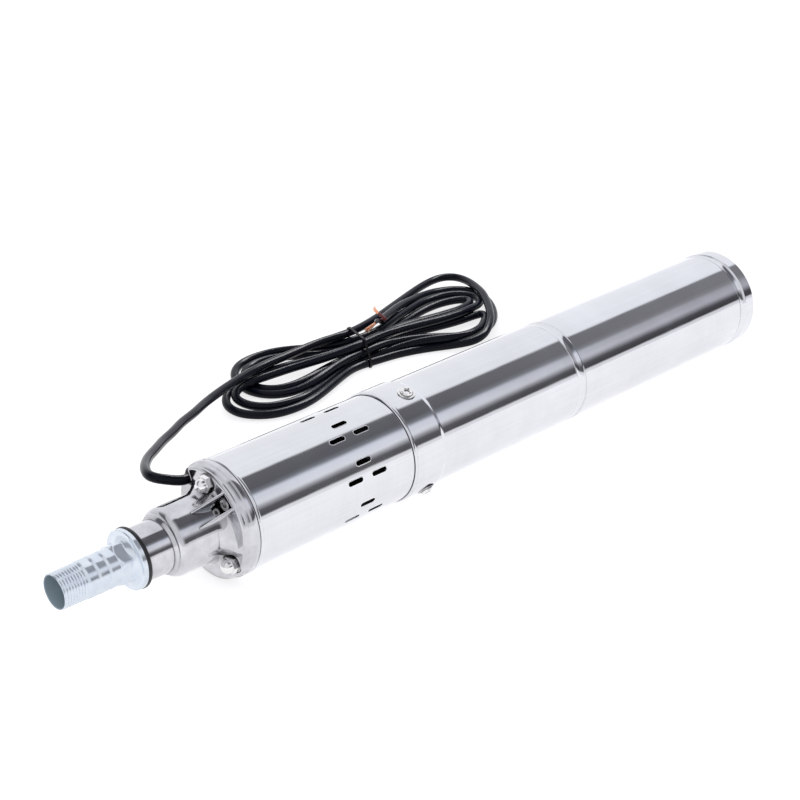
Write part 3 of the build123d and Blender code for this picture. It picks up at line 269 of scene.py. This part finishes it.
finish_of = {
    barrel_steel: ["intake_sleeve", "motor_barrel", "end_barrel", "middle_bell", "end_cap"],
    head_steel: ["outlet_head"],
    fastener: [
        "nut_washers", "acorn_nuts", "channel_screw", "clamp_nuts", "screw_washers",
        "bracket_screws", "circlips",
    ],
    # dark as painted shade
    painted_shade_steel: ["tie_rods", "stator_tube", "connecting_rod", "clamp_plate", "motor_bracket"],
    rubber: [
        "nipple_seal", "gland_bush", "stator_rubber", "cable_packing", "barrel_o_rings",
        "sand_slinger",
    ],
    jacket: ["inner_cable"],
    machined: [
        "shaft_coupling", "motor_shaft", "bearing_outer_rings", "bearing_inner_rings",
        "seal_spring", "rotor_hub", "stator_core",
    ],
    chromed: ["screw_rotor"],
    carbon: ["seal_face"],
    ceramic: ["seal_seat"],
    magnet: ["rotor_magnets"],
    copper: ["windings"],
    red_jacket: ["power_leads"],
    board_green: ["controller_board"],
    black_plastic: ["board_carriers", "power_transistors"],
    blue_plastic: ["terminal_block", "capacitors"],
    choke_yellow: ["choke_coil"],
}

# Pieces of the CAD model, dressed
SHARP_ANGLE = 28.0
WELD = 2e-6  # metres
NONE_AT_ALL = 1e-9
INWARD = -0.5
turned_nodes = {*finish_of[barrel_steel], *finish_of[head_steel]}
body_name = {
    member: body
    for body, members in frame["record"]["behaviour"]["bodies"].items()
    for member in members
}
# The head's lip: its first and last station and the radius that it lies outside of
LIP_FRONT, LIP_BACK, LIP_INSIDE = 112.5, 123.0, 36.5
LIP_LEAN = -0.80
LIP_CURVE = 1.2
LONG_FACE = 6.0
SKEWED = 0.11  # a larger sideways share of the normal means that a face isn't turned
ON_AXIS = 1e-4  # metres
LEVEL = 0.1  # largest share of X in the normal of a face along the axis
LIP_SLACK = 0.01


def true_normals(mesh, has_lip):
    """Gives turned faces round the pump's axis the normals of the surface they stand for.

    The lip of the head, where the mesh has it, looks rounded to the front.
    """
    point = np.array([v.co[:] for v in mesh.vertices])
    normals = np.array([c.vector[:] for c in mesh.corner_normals])
    for face in mesh.polygons:
        corners = list(face.loop_indices)
        places = point[[mesh.loops[c].vertex_index for c in corners]]
        own = np.array(face.normal[:])
        across = np.array([0.0, places[:, 1].mean(), places[:, 2].mean() - AXIS * MM])
        far = np.linalg.norm(across)
        if far < ON_AXIS:
            continue
        across /= far
        if abs(own[1] * across[2] - own[2] * across[1]) > SKEWED:
            continue
        long_face = np.ptp(places[:, 0]) > LONG_FACE * MM
        outward = own @ across
        level = abs(own[0]) < LEVEL and outward > 0
        on_lip = has_lip and level and far > LIP_INSIDE * MM
        for c, place in zip(corners, places):
            out = np.array([0.0, place[1], place[2] - AXIS * MM])
            out /= max(np.linalg.norm(out), NONE_AT_ALL)
            lean = own[0] if long_face else normals[c][0]
            if on_lip:
                share = (place[0] / MM - MOUTH - LIP_FRONT) / (LIP_BACK - LIP_FRONT)
                if -LIP_SLACK < share < 1 + LIP_SLACK:
                    lean = LIP_LEAN * (1 - min(1.0, max(0.0, share))) ** LIP_CURVE
            side = math.copysign(math.sqrt(max(0.0, 1 - lean * lean)), outward)
            normals[c] = (lean, side * out[1], side * out[2])
    mesh.normals_split_custom_set([tuple(n) for n in normals])


def smooth(mesh, angle):
    mesh.shade_smooth()
    mesh.set_sharp_from_angle(angle=math.radians(angle))


def dress(name, mat):
    """Smooth copy of a CAD node, which then stands for it."""
    node = nodes[name]
    node.data.materials.clear()
    node.data.materials.append(mat)
    mesh = node.data.copy()
    piece = show(name + "_piece", mesh)
    bm = bmesh.new()
    bm.from_mesh(mesh)
    bmesh.ops.remove_doubles(bm, verts=bm.verts, dist=WELD)
    bm.to_mesh(mesh)
    bm.free()
    smooth(mesh, SHARP_ANGLE)
    if name in turned_nodes:
        true_normals(mesh, name == "outlet_head")
    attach(piece, body_name[name])
    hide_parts(name)
    return piece


def paint_shade_inside(piece, mat):
    """Gives the faces that look at the pump's axis a second, near-black material as painted shade.
    """
    piece.data.materials.append(mat)
    for face in piece.data.polygons:
        out = Vector((0.0, face.center.y, face.center.z - AXIS * MM)).normalized()
        if face.normal.dot(out) < INWARD:
            face.material_index = 1


for mat, names in finish_of.items():
    for name in names:
        piece = dress(name, mat)
        # The sleeve's inside gets painted shade
        if name == "intake_sleeve":
            paint_shade_inside(piece, painted_shade_inner)


def add_mesh(name, verts, faces, mat, angle=SHARP_ANGLE):
    """New piece of the pump from points in mm."""
    mesh = bpy.data.meshes.new(name)
    mesh.from_pydata([tuple(c * MM for c in v) for v in verts], [], faces)
    mesh.update()
    smooth(mesh, angle)
    mesh.materials.append(mat)
    piece = show(name, mesh)
    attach(piece, "pump_body")
    return piece


def ring_faces(rings, size, first=0):
    """Faces between rings of points, each ring joined to the next and the last to the first."""
    faces = []
    for i in range(rings):
        here, there = first + i * size, first + (i + 1) % rings * size
        for j in range(size):
            m = (j + 1) % size
            faces.append((here + j, here + m, there + m, there + j))
    return faces


# Hose nipple: thread, barbs, wrench flats and flared disc as one turned surface
AROUND = 180
BORE = 10.25
BORE_END = 65.5
BORE_CHAMFER = 0.4
SPIGOT_RADIUS = 13.0
RIM = 0.5
HAIR = 0.001  # between two stations that a sudden change of radius lies between
MOUTH_RADIUS = 10.9
THREAD_END = 16.5
THREAD_PITCH = 1.95
THREAD_RADIUS = 11.6
THREAD_DEPTH = 0.75
THREAD_SLOPE = 1.25
THREAD_FADE = 1.5
THREAD_STEP, THREAD_STATIONS = 0.18, 92
BARBS = 3
BARB_START = 17.0
BARB_PITCH = 7.6
BARB_RADIUS = 12.1
BARB_HEIGHT = 1.1
NECK_RADIUS = 11.0
RISE_SHARE, DROP_START, DROP_SHARE = 0.22, 0.93, 0.07
LAST_BARB = 1.0  # the barb that ends within this of the hexagon doesn't drop
BARB_STATIONS = (0.001, 0.11, 0.219, 0.221, 0.6, 0.92, 0.93, 0.999)
HEX_START = 39.8
HEX_FLAT = 12.5
HEX_CORNER = 14.1
HEX_CHAMFER = 0.9
HEX_STEP, HEX_STATIONS = 0.5, 20
FLARE_START = 46.5
FLARE_LENGTH = 4.0
FLARE_HEIGHT = 4.9
FLARE_CURVE = 1.3
DISC_FRONT = 50.5
DISC_BACK = 53.5
DISC_RADIUS = 19.5
NIPPLE_SHARP = 35.0


def nipple_radius(x, angle):
    """Outer radius of the nipple at a station and an angle in radians."""
    if x <= THREAD_END:
        phase = (x / THREAD_PITCH + angle / TURN) % 1.0
        depth = THREAD_DEPTH * min(1.0, max(0.0, THREAD_SLOPE * abs(2 * phase - 1)))
        fade = min(1.0, (THREAD_END - x) / THREAD_FADE)
        return min(THREAD_RADIUS - depth * fade, MOUTH_RADIUS + x)
    if x <= BARB_START:
        return NECK_RADIUS
    if x < HEX_START:
        share = ((x - BARB_START) / BARB_PITCH) % 1.0
        if share > DROP_START and x < HEX_START - LAST_BARB:
            return BARB_RADIUS - (share - DROP_START) / DROP_SHARE * BARB_HEIGHT
        return NECK_RADIUS + BARB_HEIGHT * min(1.0, share / RISE_SHARE)
    flare = BARB_RADIUS
    if x > FLARE_START:
        flare += FLARE_HEIGHT * ((x - FLARE_START) / FLARE_LENGTH) ** FLARE_CURVE
    sixth = TURN / 6
    flat = HEX_FLAT / math.cos((angle + sixth / 2) % sixth - sixth / 2)
    return max(flare, min(flat, HEX_CORNER, BARB_RADIUS + HEX_CHAMFER * (x - HEX_START)))


def nipple():
    """The nipple's outside from the mouth to the disc, then its back, spigot and bore."""
    stations = [THREAD_STEP * i for i in range(THREAD_STATIONS)]
    stations += [THREAD_END, THREAD_END + HAIR, BARB_START]
    for i in range(BARBS):
        start = BARB_START + BARB_PITCH * i
        stations += [start + share * BARB_PITCH for share in BARB_STATIONS]
    stations += [HEX_START + HAIR]
    stations += [HEX_START + HEX_STEP * i for i in range(1, HEX_STATIONS + 1)]
    stations += [DISC_FRONT - HAIR]
    angles = [TURN * j / AROUND for j in range(AROUND)]
    rings = [[(x, nipple_radius(x, a)) for a in angles] for x in stations]
    outline = [
        (DISC_FRONT, DISC_RADIUS - RIM), (DISC_FRONT + RIM, DISC_RADIUS),
        (DISC_BACK, DISC_RADIUS), (DISC_BACK, SPIGOT_RADIUS), (BORE_END, SPIGOT_RADIUS),
        (BORE_END, BORE), (RIM, BORE), (0.0, BORE + BORE_CHAMFER),
    ]
    rings += [[point] * AROUND for point in outline]
    verts = [
        (MOUTH + x, r * math.cos(a), AXIS + r * math.sin(a))
        for ring in rings
        for (x, r), a in zip(ring, angles)
    ]
    faces = ring_faces(len(rings), AROUND)
    piece = add_mesh("hose_nipple_piece", verts, faces, zinc, NIPPLE_SHARP)
    piece.data.materials.append(bore_painted_glow)
    # The bore and its two rims, in the material with the painted glow
    for face in piece.data.polygons[-4 * AROUND:]:
        face.material_index = 1
    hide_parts("hose_nipple")


nipple()

# Deburred edges of the intake slots, as the sleeve has them: groups of three slots round it,
# two in line with each other and one between them, a little further round
SLEEVE_RADIUS = 38.0
SLOT_LENGTH, SLOT_WIDTH = 12.5, 3.4
SLOT_STATION = 214.5
SLOT_OFFSET = 10.3
SLOT_GROUPS = 8
FIRST_GROUP = 121.0
MIDDLE_SLOT = -16.0
EDGE_WIDTH, EDGE_RISE = 0.5, 0.10
EDGE_POINTS = 48
EDGE_SHARP = 60.0
# How far out from the slot's edge and how far above the sleeve each corner of the bead lies
EDGE_PROFILE = (
    (-0.02, -0.15), (-0.02, EDGE_RISE * 0.6), (EDGE_WIDTH / 2, EDGE_RISE), (EDGE_WIDTH, -0.02),
)


def slot_edges():
    """A fine bead round each slot, on the sleeve's outside."""
    verts = []
    faces = []
    half_long, half_wide = (SLOT_LENGTH - SLOT_WIDTH) / 2, SLOT_WIDTH / 2
    slots = []
    for group in range(SLOT_GROUPS):
        angle = FIRST_GROUP + 360.0 / SLOT_GROUPS * group
        slots += [(SLOT_STATION - SLOT_OFFSET, angle), (SLOT_STATION + SLOT_OFFSET, angle)]
        slots += [(SLOT_STATION, angle + MIDDLE_SLOT)]
    for middle, turn in slots:
        faces += ring_faces(EDGE_POINTS, len(EDGE_PROFILE), len(verts))
        for k in range(EDGE_POINTS):
            a = TURN * k / EDGE_POINTS
            for grow, high in EDGE_PROFILE:
                r = half_wide + grow
                along = math.copysign(half_long, math.cos(a)) + r * math.cos(a)
                t = math.radians(turn) + math.asin(r * math.sin(a) / SLEEVE_RADIUS)
                out = SLEEVE_RADIUS + high
                verts.append((MOUTH + middle + along, out * math.cos(t), AXIS + out * math.sin(t)))
    add_mesh("slot_edges", verts, faces, edge_steel, EDGE_SHARP)


slot_edges()

# Free cable, traced as (station, y, z): up and over from its bush, then nine loops of a hank
# that is pinched at its waist
CABLE = 6.6
lead = [
    (117.9, 22.4, 61.0), (113.3, 21.4, 61.6), (108.0, 23.2, 62.6), (103.0, 26.0, 64.0),
    (98.4, 30.4, 65.0), (97.2, 36.6, 64.8), (101.0, 45.2, 63.0), (108.5, 56.8, 59.5),
    (121.5, 71.8, 54.5), (138.0, 86.6, 49.0), (154.8, 101.4, 43.5), (173.5, 115.4, 38.5),
    (192.0, 129.6, 34.0), (212.6, 142.8, 29.5), (233.0, 157.0, 25.0), (253.2, 168.6, 21.5),
    (275.0, 178.4, 18.5), (303.0, 189.0, 15.5), (340.0, 194.5, 13.5),
]
loops = [
    # over the waist, round the far end and back along the near side
    [
        (380, 197, 13), (396, 191, 13), (409, 192, 13), (422, 196, 13), (438, 201, 12),
        (455, 207, 11), (472, 214, 10), (491, 221, 9), (510, 228, 8), (528, 234, 7),
        (544, 238, 6.5), (557, 239, 6.5), (565, 234, 7), (567, 224, 8), (562, 207, 10),
        (552, 187, 12), (540, 168, 14), (528, 152, 15), (515, 138, 15), (503, 127, 14),
        (493, 120, 12), (484, 118, 9.5), (477, 120, 7), (473, 126, 5), (469, 134, 4), (460, 142, 4),
        (449, 148, 4), (436, 152, 4), (424, 157, 4), (412, 157, 4), (403, 157, 4),
    ],
    # near left loop, outermost
    [
        (394, 160, 4), (385, 162, 4), (379, 161, 4), (363, 155, 4), (346, 148, 4), (330, 141, 4),
        (316, 137, 4), (305, 136, 4), (296, 136, 4), (287, 137, 4), (279, 140, 4), (271, 147, 4),
        (263, 155, 4), (261, 164, 4), (261, 172, 4), (266, 181, 4), (274, 188, 4), (283, 192, 5),
        (294, 192, 7), (304, 193, 8), (314, 193, 8), (333, 191, 8), (350, 187, 8), (365, 181, 9),
        (383, 177, 10), (397, 174, 12), (408, 175, 13),
    ],
    # innermost right loop
    [
        (419, 175, 14), (433, 178, 13), (450, 179, 12), (471, 177, 11), (492, 174, 10),
        (503, 174, 9), (514, 172, 9), (525, 174, 8.5), (536, 177, 8), (543, 180, 8), (545, 185, 8),
        (542, 190, 7), (537, 195, 6), (528, 198, 6), (519, 201, 6), (508, 202, 6), (496, 202, 6),
        (482, 199, 6.5), (467, 196, 7), (452, 192, 8), (438, 189, 9), (424, 186, 10),
        (411, 184, 10),
    ],
    # inner far left loop
    [
        (396, 186, 8), (384, 190, 7), (374, 196, 6), (365, 204, 5), (356, 213, 4), (346, 219, 4),
        (335, 221, 4), (324, 221, 4), (314, 217, 4), (306, 207, 4), (301, 195, 4), (301, 183, 4),
        (305, 173, 4), (314, 167, 4), (327, 166, 4), (344, 168, 4), (362, 172, 5), (380, 174, 6),
        (393, 174, 8), (405, 175, 8),
    ],
    # near right loop
    [
        (419, 175, 8), (437, 176, 7), (452, 174, 6.5), (466, 171, 6), (484, 166, 6), (499, 163, 6),
        (514, 163, 6), (527, 164, 7), (533, 162, 8), (527, 152, 8), (514, 141, 8), (503, 133, 7),
        (492, 130, 5), (479, 130, 5), (471, 133, 6), (462, 138, 8), (454, 147, 9), (444, 154, 10),
        (432, 160, 10), (419, 163, 9), (408, 164, 8), (397, 167, 6),
    ],
    # near left loop, second
    [
        (387, 170, 5), (371, 164, 5), (355, 157, 5), (339, 151, 5), (324, 146, 5), (313, 144, 5),
        (303, 145, 5), (294, 145, 5), (284, 148, 5), (277, 154, 5), (272, 162, 5), (271, 171, 5),
        (271, 178, 6), (274, 184, 7), (283, 187, 8), (295, 190, 9), (304, 186, 10), (317, 184, 10),
        (331, 183, 9), (344, 180, 9), (360, 175, 10), (377, 170, 12), (390, 167, 14),
        (401, 167, 15),
    ],
    # middle right loop
    [
        (419, 172, 15), (432, 171, 15), (443, 171, 14), (463, 168, 13), (482, 164, 12),
        (498, 163, 11), (513, 162, 11), (528, 165, 11), (540, 169, 11), (548, 177, 10.5),
        (551, 186, 9), (549, 194, 8), (544, 202, 7), (537, 207, 6), (528, 210, 6), (517, 211, 6),
        (504, 210, 6.5), (488, 206, 7.5), (471, 200, 9), (452, 192, 10.5), (435, 186, 12),
        (422, 184, 12), (412, 185, 11),
    ],
    # far left loop
    [
        (399, 189, 9), (390, 196, 7), (380, 203, 6), (371, 212, 5), (363, 221, 4), (352, 227, 4),
        (341, 229, 4), (330, 230, 4), (320, 229, 4), (310, 223, 4), (303, 215, 4), (297, 204, 4),
        (294, 190, 4), (295, 177, 4), (299, 166, 4), (307, 158, 4), (316, 154, 4), (328, 153, 5),
        (343, 156, 5), (360, 161, 6), (376, 166, 7), (388, 167, 9), (397, 166, 10),
    ],
    # right loop on the floor, to the bared end
    [
        (411, 165, 10), (427, 166, 8), (443, 165, 6), (456, 161, 5), (467, 155, 4), (476, 147, 4),
        (486, 139, 4), (498, 136, 4), (511, 137, 4), (525, 143, 4), (537, 153, 4), (548, 166, 4),
        (558, 182, 4), (563, 196, 4), (562, 207, 4), (556, 213, 4), (548, 218, 4), (539, 220, 4.5),
        (528, 222, 5), (514, 220, 6), (497, 214, 8), (478, 207, 10), (460, 198, 12),
        (447, 192, 13.5), (437, 187, 14.5),
    ],
]

CABLE_STEP = 5.5
CABLE_SPACE = CABLE + 0.3
LIFT = CABLE / 2 + 0.1
CURVE_POINTS = 16  # between two traced points
# How the cable settles: rounds, points of the lead that keep their places, nearest point
# along the cable that another pushes away, and the shares of each round's moves
SETTLING = 300
LEAD_POINTS = 42
NEIGHBOURS = 4
PUSH, STRAIGHTEN, RETURN = 0.22, 0.18, 0.02


def resampled(points, step):
    """Points at an even step along a smooth line through the given ones."""
    p = np.array([points[0]] + list(points) + [points[-1]], float)
    line = []
    for a, b, c, d in zip(p, p[1:], p[2:], p[3:]):
        for t in np.linspace(0, 1, CURVE_POINTS, endpoint=False):
            line.append(
                0.5 * (2 * b + (c - a) * t + (2 * a - 5 * b + 4 * c - d) * t * t
                       + (3 * b - a - 3 * c + d) * t ** 3)
            )
    line.append(p[-1])
    return evenly(np.array(line), lambda total: np.linspace(0, total, int(total / step) + 1))


def evenly(line, spots):
    """Points of a line at the lengths along it that spots gives for its whole length."""
    run = np.r_[0, np.cumsum(np.linalg.norm(np.diff(line, axis=0), axis=1))]
    at = spots(run[-1])
    return np.column_stack([np.interp(at, run, column) for column in line.T])


def settled(line, size, floor, rounds, fixed):
    """Pushes strands apart until they touch without overlap, and keeps them off the floor.

    The first points, as many as fixed says, stay where they are.
    """
    order = np.arange(len(line))
    near = np.abs(np.subtract.outer(order, order)) < NEIGHBOURS
    rest = line.copy()
    for _ in range(rounds):
        gap = line[:, None, :] - line[None, :, :]
        dist = np.sqrt((gap ** 2).sum(2)) + NONE_AT_ALL
        push = np.clip(size - dist, 0, None)
        push[near] = 0
        move = (gap / dist[:, :, None] * (PUSH * push)[:, :, None]).sum(1)
        bend = np.zeros_like(line)
        bend[1:-1] = 0.5 * (line[:-2] + line[2:]) - line[1:-1]
        line = line + move + STRAIGHTEN * bend
        line[:, :2] += RETURN * (rest[:, :2] - line[:, :2])
        line[:, 2] = np.maximum(line[:, 2], floor)
        line[:fixed] = rest[:fixed]
    return line


route = list(lead)
for loop in loops:
    route += loop
cable = settled(resampled(route, CABLE_STEP), CABLE_SPACE, LIFT, SETTLING, LEAD_POINTS)
cable[:, 0] += MOUTH


def tube(name, points, radius, mat, steps=6, ring=8):
    """Round bar along points in mm, as a NURBS curve."""
    data = bpy.data.curves.new(name, "CURVE")
    data.dimensions = "3D"
    data.resolution_u = steps
    data.bevel_depth = radius * MM
    data.bevel_resolution = ring
    data.use_fill_caps = True
    spline = data.splines.new("NURBS")
    spline.points.add(len(points) - 1)
    for target, point in zip(spline.points, points):
        target.co = (*(float(c) * MM for c in point), 1.0)
    spline.order_u = 3
    spline.use_endpoint_u = True
    data.materials.append(mat)
    return show(name, data)


cable_piece = tube("supply_cable", cable, CABLE / 2, jacket, 4, 12)
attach(cable_piece, "pump_body")
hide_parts("cable_lead", "cable_hank")

# Cores and copper at the cable's far end, with points counted from that end
cores = [
    ("core_red", red_jacket, 1.2,
     [(0, 0, 0.6), (-2, -6, 3.5), (-4, -10, 5), (-4, -7, 6.5), (-3, -1, 7)]),
    ("core_black", black_plastic, 1.2,
     [(0, 0, -0.6), (-4, -2, 1.0), (-9, -5, 3.0), (-14, -8, 4.0)]),
    ("core_grey", white_jacket, 0.55,
     [(0, 0, 0), (-4, -1, 2.4), (-9, -3, 4.2), (-13, -6.5, 4.6)]),
]
tufts = [
    ("copper_up", [(-3, -1, 7), (-2, 3, 7.4), (0.5, 7.5, 7.0), (3, 11, 6.0)]),
    ("copper_back", [(-14, -8, 4.0), (-19, -10.5, 4.6), (-25, -12.5, 4.4), (-29, -13.5, 4.0)]),
]
OUTER_STRANDS = 6
STRAND_RADIUS = 0.45
TUFT_RADIUS = 0.75
TUFT_UNEVEN = 0.4
FIRST_SPREAD, MORE_SPREAD = 0.8, 0.45

tip = cable[-1]
ends = [tube(name, [tip + np.array(q) for q in steps], thick, mat)
        for name, mat, thick, steps in cores]
for name, steps in tufts:
    # The last strand of a tuft runs through its middle
    for k in range(OUTER_STRANDS + 1):
        a = TURN * k / OUTER_STRANDS
        wide = TUFT_RADIUS if k < OUTER_STRANDS else 0.0
        uneven = TUFT_UNEVEN * math.sin(2 * a)
        offset = np.array([uneven, wide * math.cos(a), wide * math.sin(a)])
        strand = [
            tip + np.array(q) + offset * (FIRST_SPREAD + MORE_SPREAD * i)
            for i, q in enumerate(steps)
        ]
        ends.append(tube(name + "_" + str(k), strand, STRAND_RADIUS, copper, 4, 2))
for piece in ends:
    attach(piece, "pump_body")
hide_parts("cable_cores")
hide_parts("copper_tips")

# Tie: a thin strap round the waist of the hank, in a slightly leaning plane
TIE_STATION = 402.0
TIE_LEAN = 0.33
TIE_MIDDLE = 173.0
TIE_WIDTH, TIE_THICK = 2.2, 0.9
TIE_POINTS = 96
STRAND_POINTS = 24
SKIN = 0.2
LOWEST_INSIDE, LOWEST_OUTSIDE = 0.4, 0.1


def hull(points):
    """Corners of the tightest band round points of a plane, counterclockwise."""
    points = sorted(points)
    sides = []
    for run in (points, points[::-1]):
        side = []
        for p in run:
            while len(side) > 1 and (side[-1][0] - side[-2][0]) * (p[1] - side[-2][1]) <= (
                side[-1][1] - side[-2][1]
            ) * (p[0] - side[-2][0]):
                side.pop()
            side.append(p)
        sides += side[:-1]
    return sides


def strand_outlines():
    """Points (y, z) round each strand of the cable that crosses the tie's plane."""
    off = cable[:, 0] - MOUTH - TIE_STATION - TIE_LEAN * (cable[:, 1] - TIE_MIDDLE)
    r = CABLE / 2 + SKIN
    points = []
    for i in range(len(cable) - 1):
        if off[i] * off[i + 1] < 0:
            t = off[i] / (off[i] - off[i + 1])
            y, z = (cable[i] + t * (cable[i + 1] - cable[i]))[1:]
            for k in range(STRAND_POINTS):
                a = TURN * k / STRAND_POINTS
                points.append((float(y + r * math.cos(a)), float(z + r * math.sin(a))))
    return points


def strap(name, mat):
    """Closed band pulled tight round the strands that cross the tie's plane."""
    path = np.array(hull(strand_outlines()))
    path = np.vstack([path, path[:1]])
    path = evenly(path, lambda total: np.linspace(0, total, TIE_POINTS, endpoint=False))
    ahead = np.roll(path, -1, axis=0) - np.roll(path, 1, axis=0)
    ahead /= np.linalg.norm(ahead, axis=1)[:, None]
    verts = []
    for (y, z), (dy, dz) in zip(path, ahead):
        for side, out in ((-1, 0), (1, 0), (1, TIE_THICK), (-1, TIE_THICK)):
            oy = y + out * dz
            oz = max(z - out * dy, LOWEST_OUTSIDE if out else LOWEST_INSIDE)
            station = TIE_STATION + TIE_LEAN * (oy - TIE_MIDDLE) + side * TIE_WIDTH / 2
            verts.append((MOUTH + station, oy, oz))
    return add_mesh(name, verts, ring_faces(TIE_POINTS, 4), mat)


tie = strap("cable_tie_piece", black_plastic)
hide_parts("cable_tie")

# Floor, in metres. Its own white is there for the camera, mirroring metal and transmitted
# rays alone, so that it lights nothing and keeps the shadow.
FLOOR_REACH = 40.0
FLOOR_WHITE = 0.74


def any_ray(tree, *kinds):
    """1 for the rays of these kinds and 0 for others."""
    path = add_node(tree, "LightPath", {})
    total = path.outputs[kinds[0]]
    for kind in kinds[1:]:
        values = {0: total, 1: path.outputs[kind]}
        total = add_node(tree, "Math", values, operation="ADD", use_clamp=True).outputs[0]
    return total


floor_mat, tree, bsdf = new_material("floor")
seen = any_ray(tree, "Is Camera Ray", "Is Glossy Ray", "Is Transmission Ray")
white = add_node(tree, "Math", {0: seen, 1: FLOOR_WHITE}, operation="MULTIPLY")
fill(tree, bsdf, {
    "Base Color": (0.55, 0.55, 0.56, 1.0),
    "Roughness": 0.9,
    "Specular IOR Level": 0.1,
    "Emission Color": (1.0, 1.0, 1.0, 1.0),
    "Emission Strength": white.outputs[0],
})
floor_mat.cycles.emission_sampling = "NONE"
floor_mesh = bpy.data.meshes.new("floor")
square = [(-1, -1, 0), (1, -1, 0), (1, 1, 0), (-1, 1, 0)]
floor_mesh.from_pydata([FLOOR_REACH * Vector(c) for c in square], [], [(0, 1, 2, 3)])
floor_mesh.materials.append(floor_mat)
floor = show("floor", floor_mesh)

# The studio: soft light from all round, with a long pale panel and dark parts beside it that
# the steel mirrors. Each table goes over the top from the horizon at +Y, at 0 degrees, to
# the one at -Y.
room = [
    (0, (1.0, 1.01, 1.04)), (60, (1.0, 1.01, 1.05)), (87, (0.98, 0.99, 1.03)),
    (91.5, (0.15, 0.15, 0.165)), (118, (0.13, 0.13, 0.145)), (126, (0.22, 0.23, 0.26)),
    (133, (0.80, 0.83, 0.92)), (148, (0.88, 0.89, 0.94)), (155, (0.42, 0.42, 0.45)),
    (161, (0.13, 0.13, 0.14)), (171.5, (0.10, 0.10, 0.105)), (174, (0.9, 0.9, 0.93)),
    (180, (0.95, 0.95, 0.98)),
]
# The same past the end of the panel, towards the closed end of the pump
far_room = [
    (0, (1.0, 1.01, 1.06)), (60, (1.0, 1.01, 1.06)), (87, (0.98, 0.99, 1.05)),
    (91.5, (0.24, 0.24, 0.26)), (118, (0.24, 0.24, 0.255)), (126, (0.28, 0.28, 0.30)),
    (133, (0.42, 0.42, 0.46)), (147, (0.50, 0.50, 0.56)), (154, (0.28, 0.28, 0.31)),
    (160, (0.09, 0.09, 0.10)), (171.5, (0.045, 0.045, 0.05)), (174, (0.80, 0.80, 0.84)),
    (180, (0.88, 0.88, 0.92)),
]
# Towards the outlet's side, which only the faces turned that way mirror
front_room = [
    (0, (0.82, 0.83, 0.86)), (30, (0.84, 0.85, 0.88)), (36, (0.20, 0.20, 0.22)),
    (58, (0.16, 0.16, 0.18)), (66, (0.74, 0.75, 0.78)), (110, (0.84, 0.85, 0.88)),
    (180, (0.80, 0.81, 0.84)),
]
# Shares of X in the direction between which one room turns into the next
FRONT_TO_ROOM = (-0.45, 0.15)
ROOM_TO_FAR = (0.60, 0.77)

world = bpy.data.worlds.new("studio")
bpy.context.scene.world = world
world.use_nodes = True
wt = world.node_tree
wt.nodes.clear()
coord = add_node(wt, "TexCoord", {})
split = add_node(wt, "SeparateXYZ", {0: coord.outputs["Generated"]})
turn = add_node(wt, "Math", {0: split.outputs["Z"], 1: split.outputs["Y"]}, operation="ARCTAN2")
share = add_node(
    wt, "Math", {0: turn.outputs[0], 1: 1 / TURN, 2: 0.5}, operation="MULTIPLY_ADD",
)


def room_light(stops):
    """The light of one room over the angle of the direction."""
    return ramp(wt, share.outputs[0], [(0.5 + a / 360, c) for a, c in stops])


def blended(first, second, limits):
    """First colour up to one share of X in the direction, second from the other on."""
    start, end = limits
    values = {"Value": split.outputs["X"], "From Min": start, "From Max": end}
    step = add_node(wt, "MapRange", values, interpolation_type="SMOOTHSTEP")
    values = {"Factor": step.outputs["Result"], "A": first, "B": second}
    return add_node(wt, "Mix", values, data_type="RGBA").outputs["Result"]


light = blended(room_light(room), room_light(far_room), ROOM_TO_FAR)
light = blended(room_light(front_room), light, FRONT_TO_ROOM)
sky = add_node(wt, "Background", {"Color": light, "Strength": 1.0})
add_node(wt, "OutputWorld", {"Surface": sky.outputs[0]})

# A narrow lamp for the cable alone, whose jacket shows it as thin lines; in metres and watts
LAMP_AT = (0.84, 0.43, 0.95)
LAMP_TARGET = (0.10, 0.18, 0.01)

lamp_data = bpy.data.lights.new("cable_lamp", "AREA")
lamp_data.shape = "RECTANGLE"
lamp_data.size = 1.0
lamp_data.size_y = 0.20
lamp_data.energy = 17.0
lamp = show("cable_lamp", lamp_data)
lamp.location = LAMP_AT
lamp.rotation_mode = "QUATERNION"
toward = Vector(LAMP_TARGET) - lamp.location
lamp.rotation_quaternion = toward.to_track_quat("-Z", "Y")
lit = bpy.data.collections.new("lit_by_cable_lamp")
lit.objects.link(cable_piece)
lamp.light_linking.receiver_collection = lit

# The photo's camera
CAMERA_AT = (MOUTH - 446.9, -754.2, 587.6)
YAW, PITCH = 43.888, 26.402

camera_data = bpy.data.cameras.new("camera")
camera_data.lens = 78.16
camera_data.sensor_width = 36.0
camera_data.clip_end = 50.0
camera = show("camera", camera_data)
bpy.context.scene.camera = camera
yaw, pitch = math.radians(YAW), math.radians(PITCH)
look = Vector((math.sin(yaw) * math.cos(pitch), math.cos(yaw) * math.cos(pitch), -math.sin(pitch)))
camera.location = Vector(CAMERA_AT) * MM
camera.rotation_mode = "QUATERNION"
camera.rotation_quaternion = look.to_track_quat("-Z", "Y")
bpy.context.scene.view_settings.view_transform = "Standard"
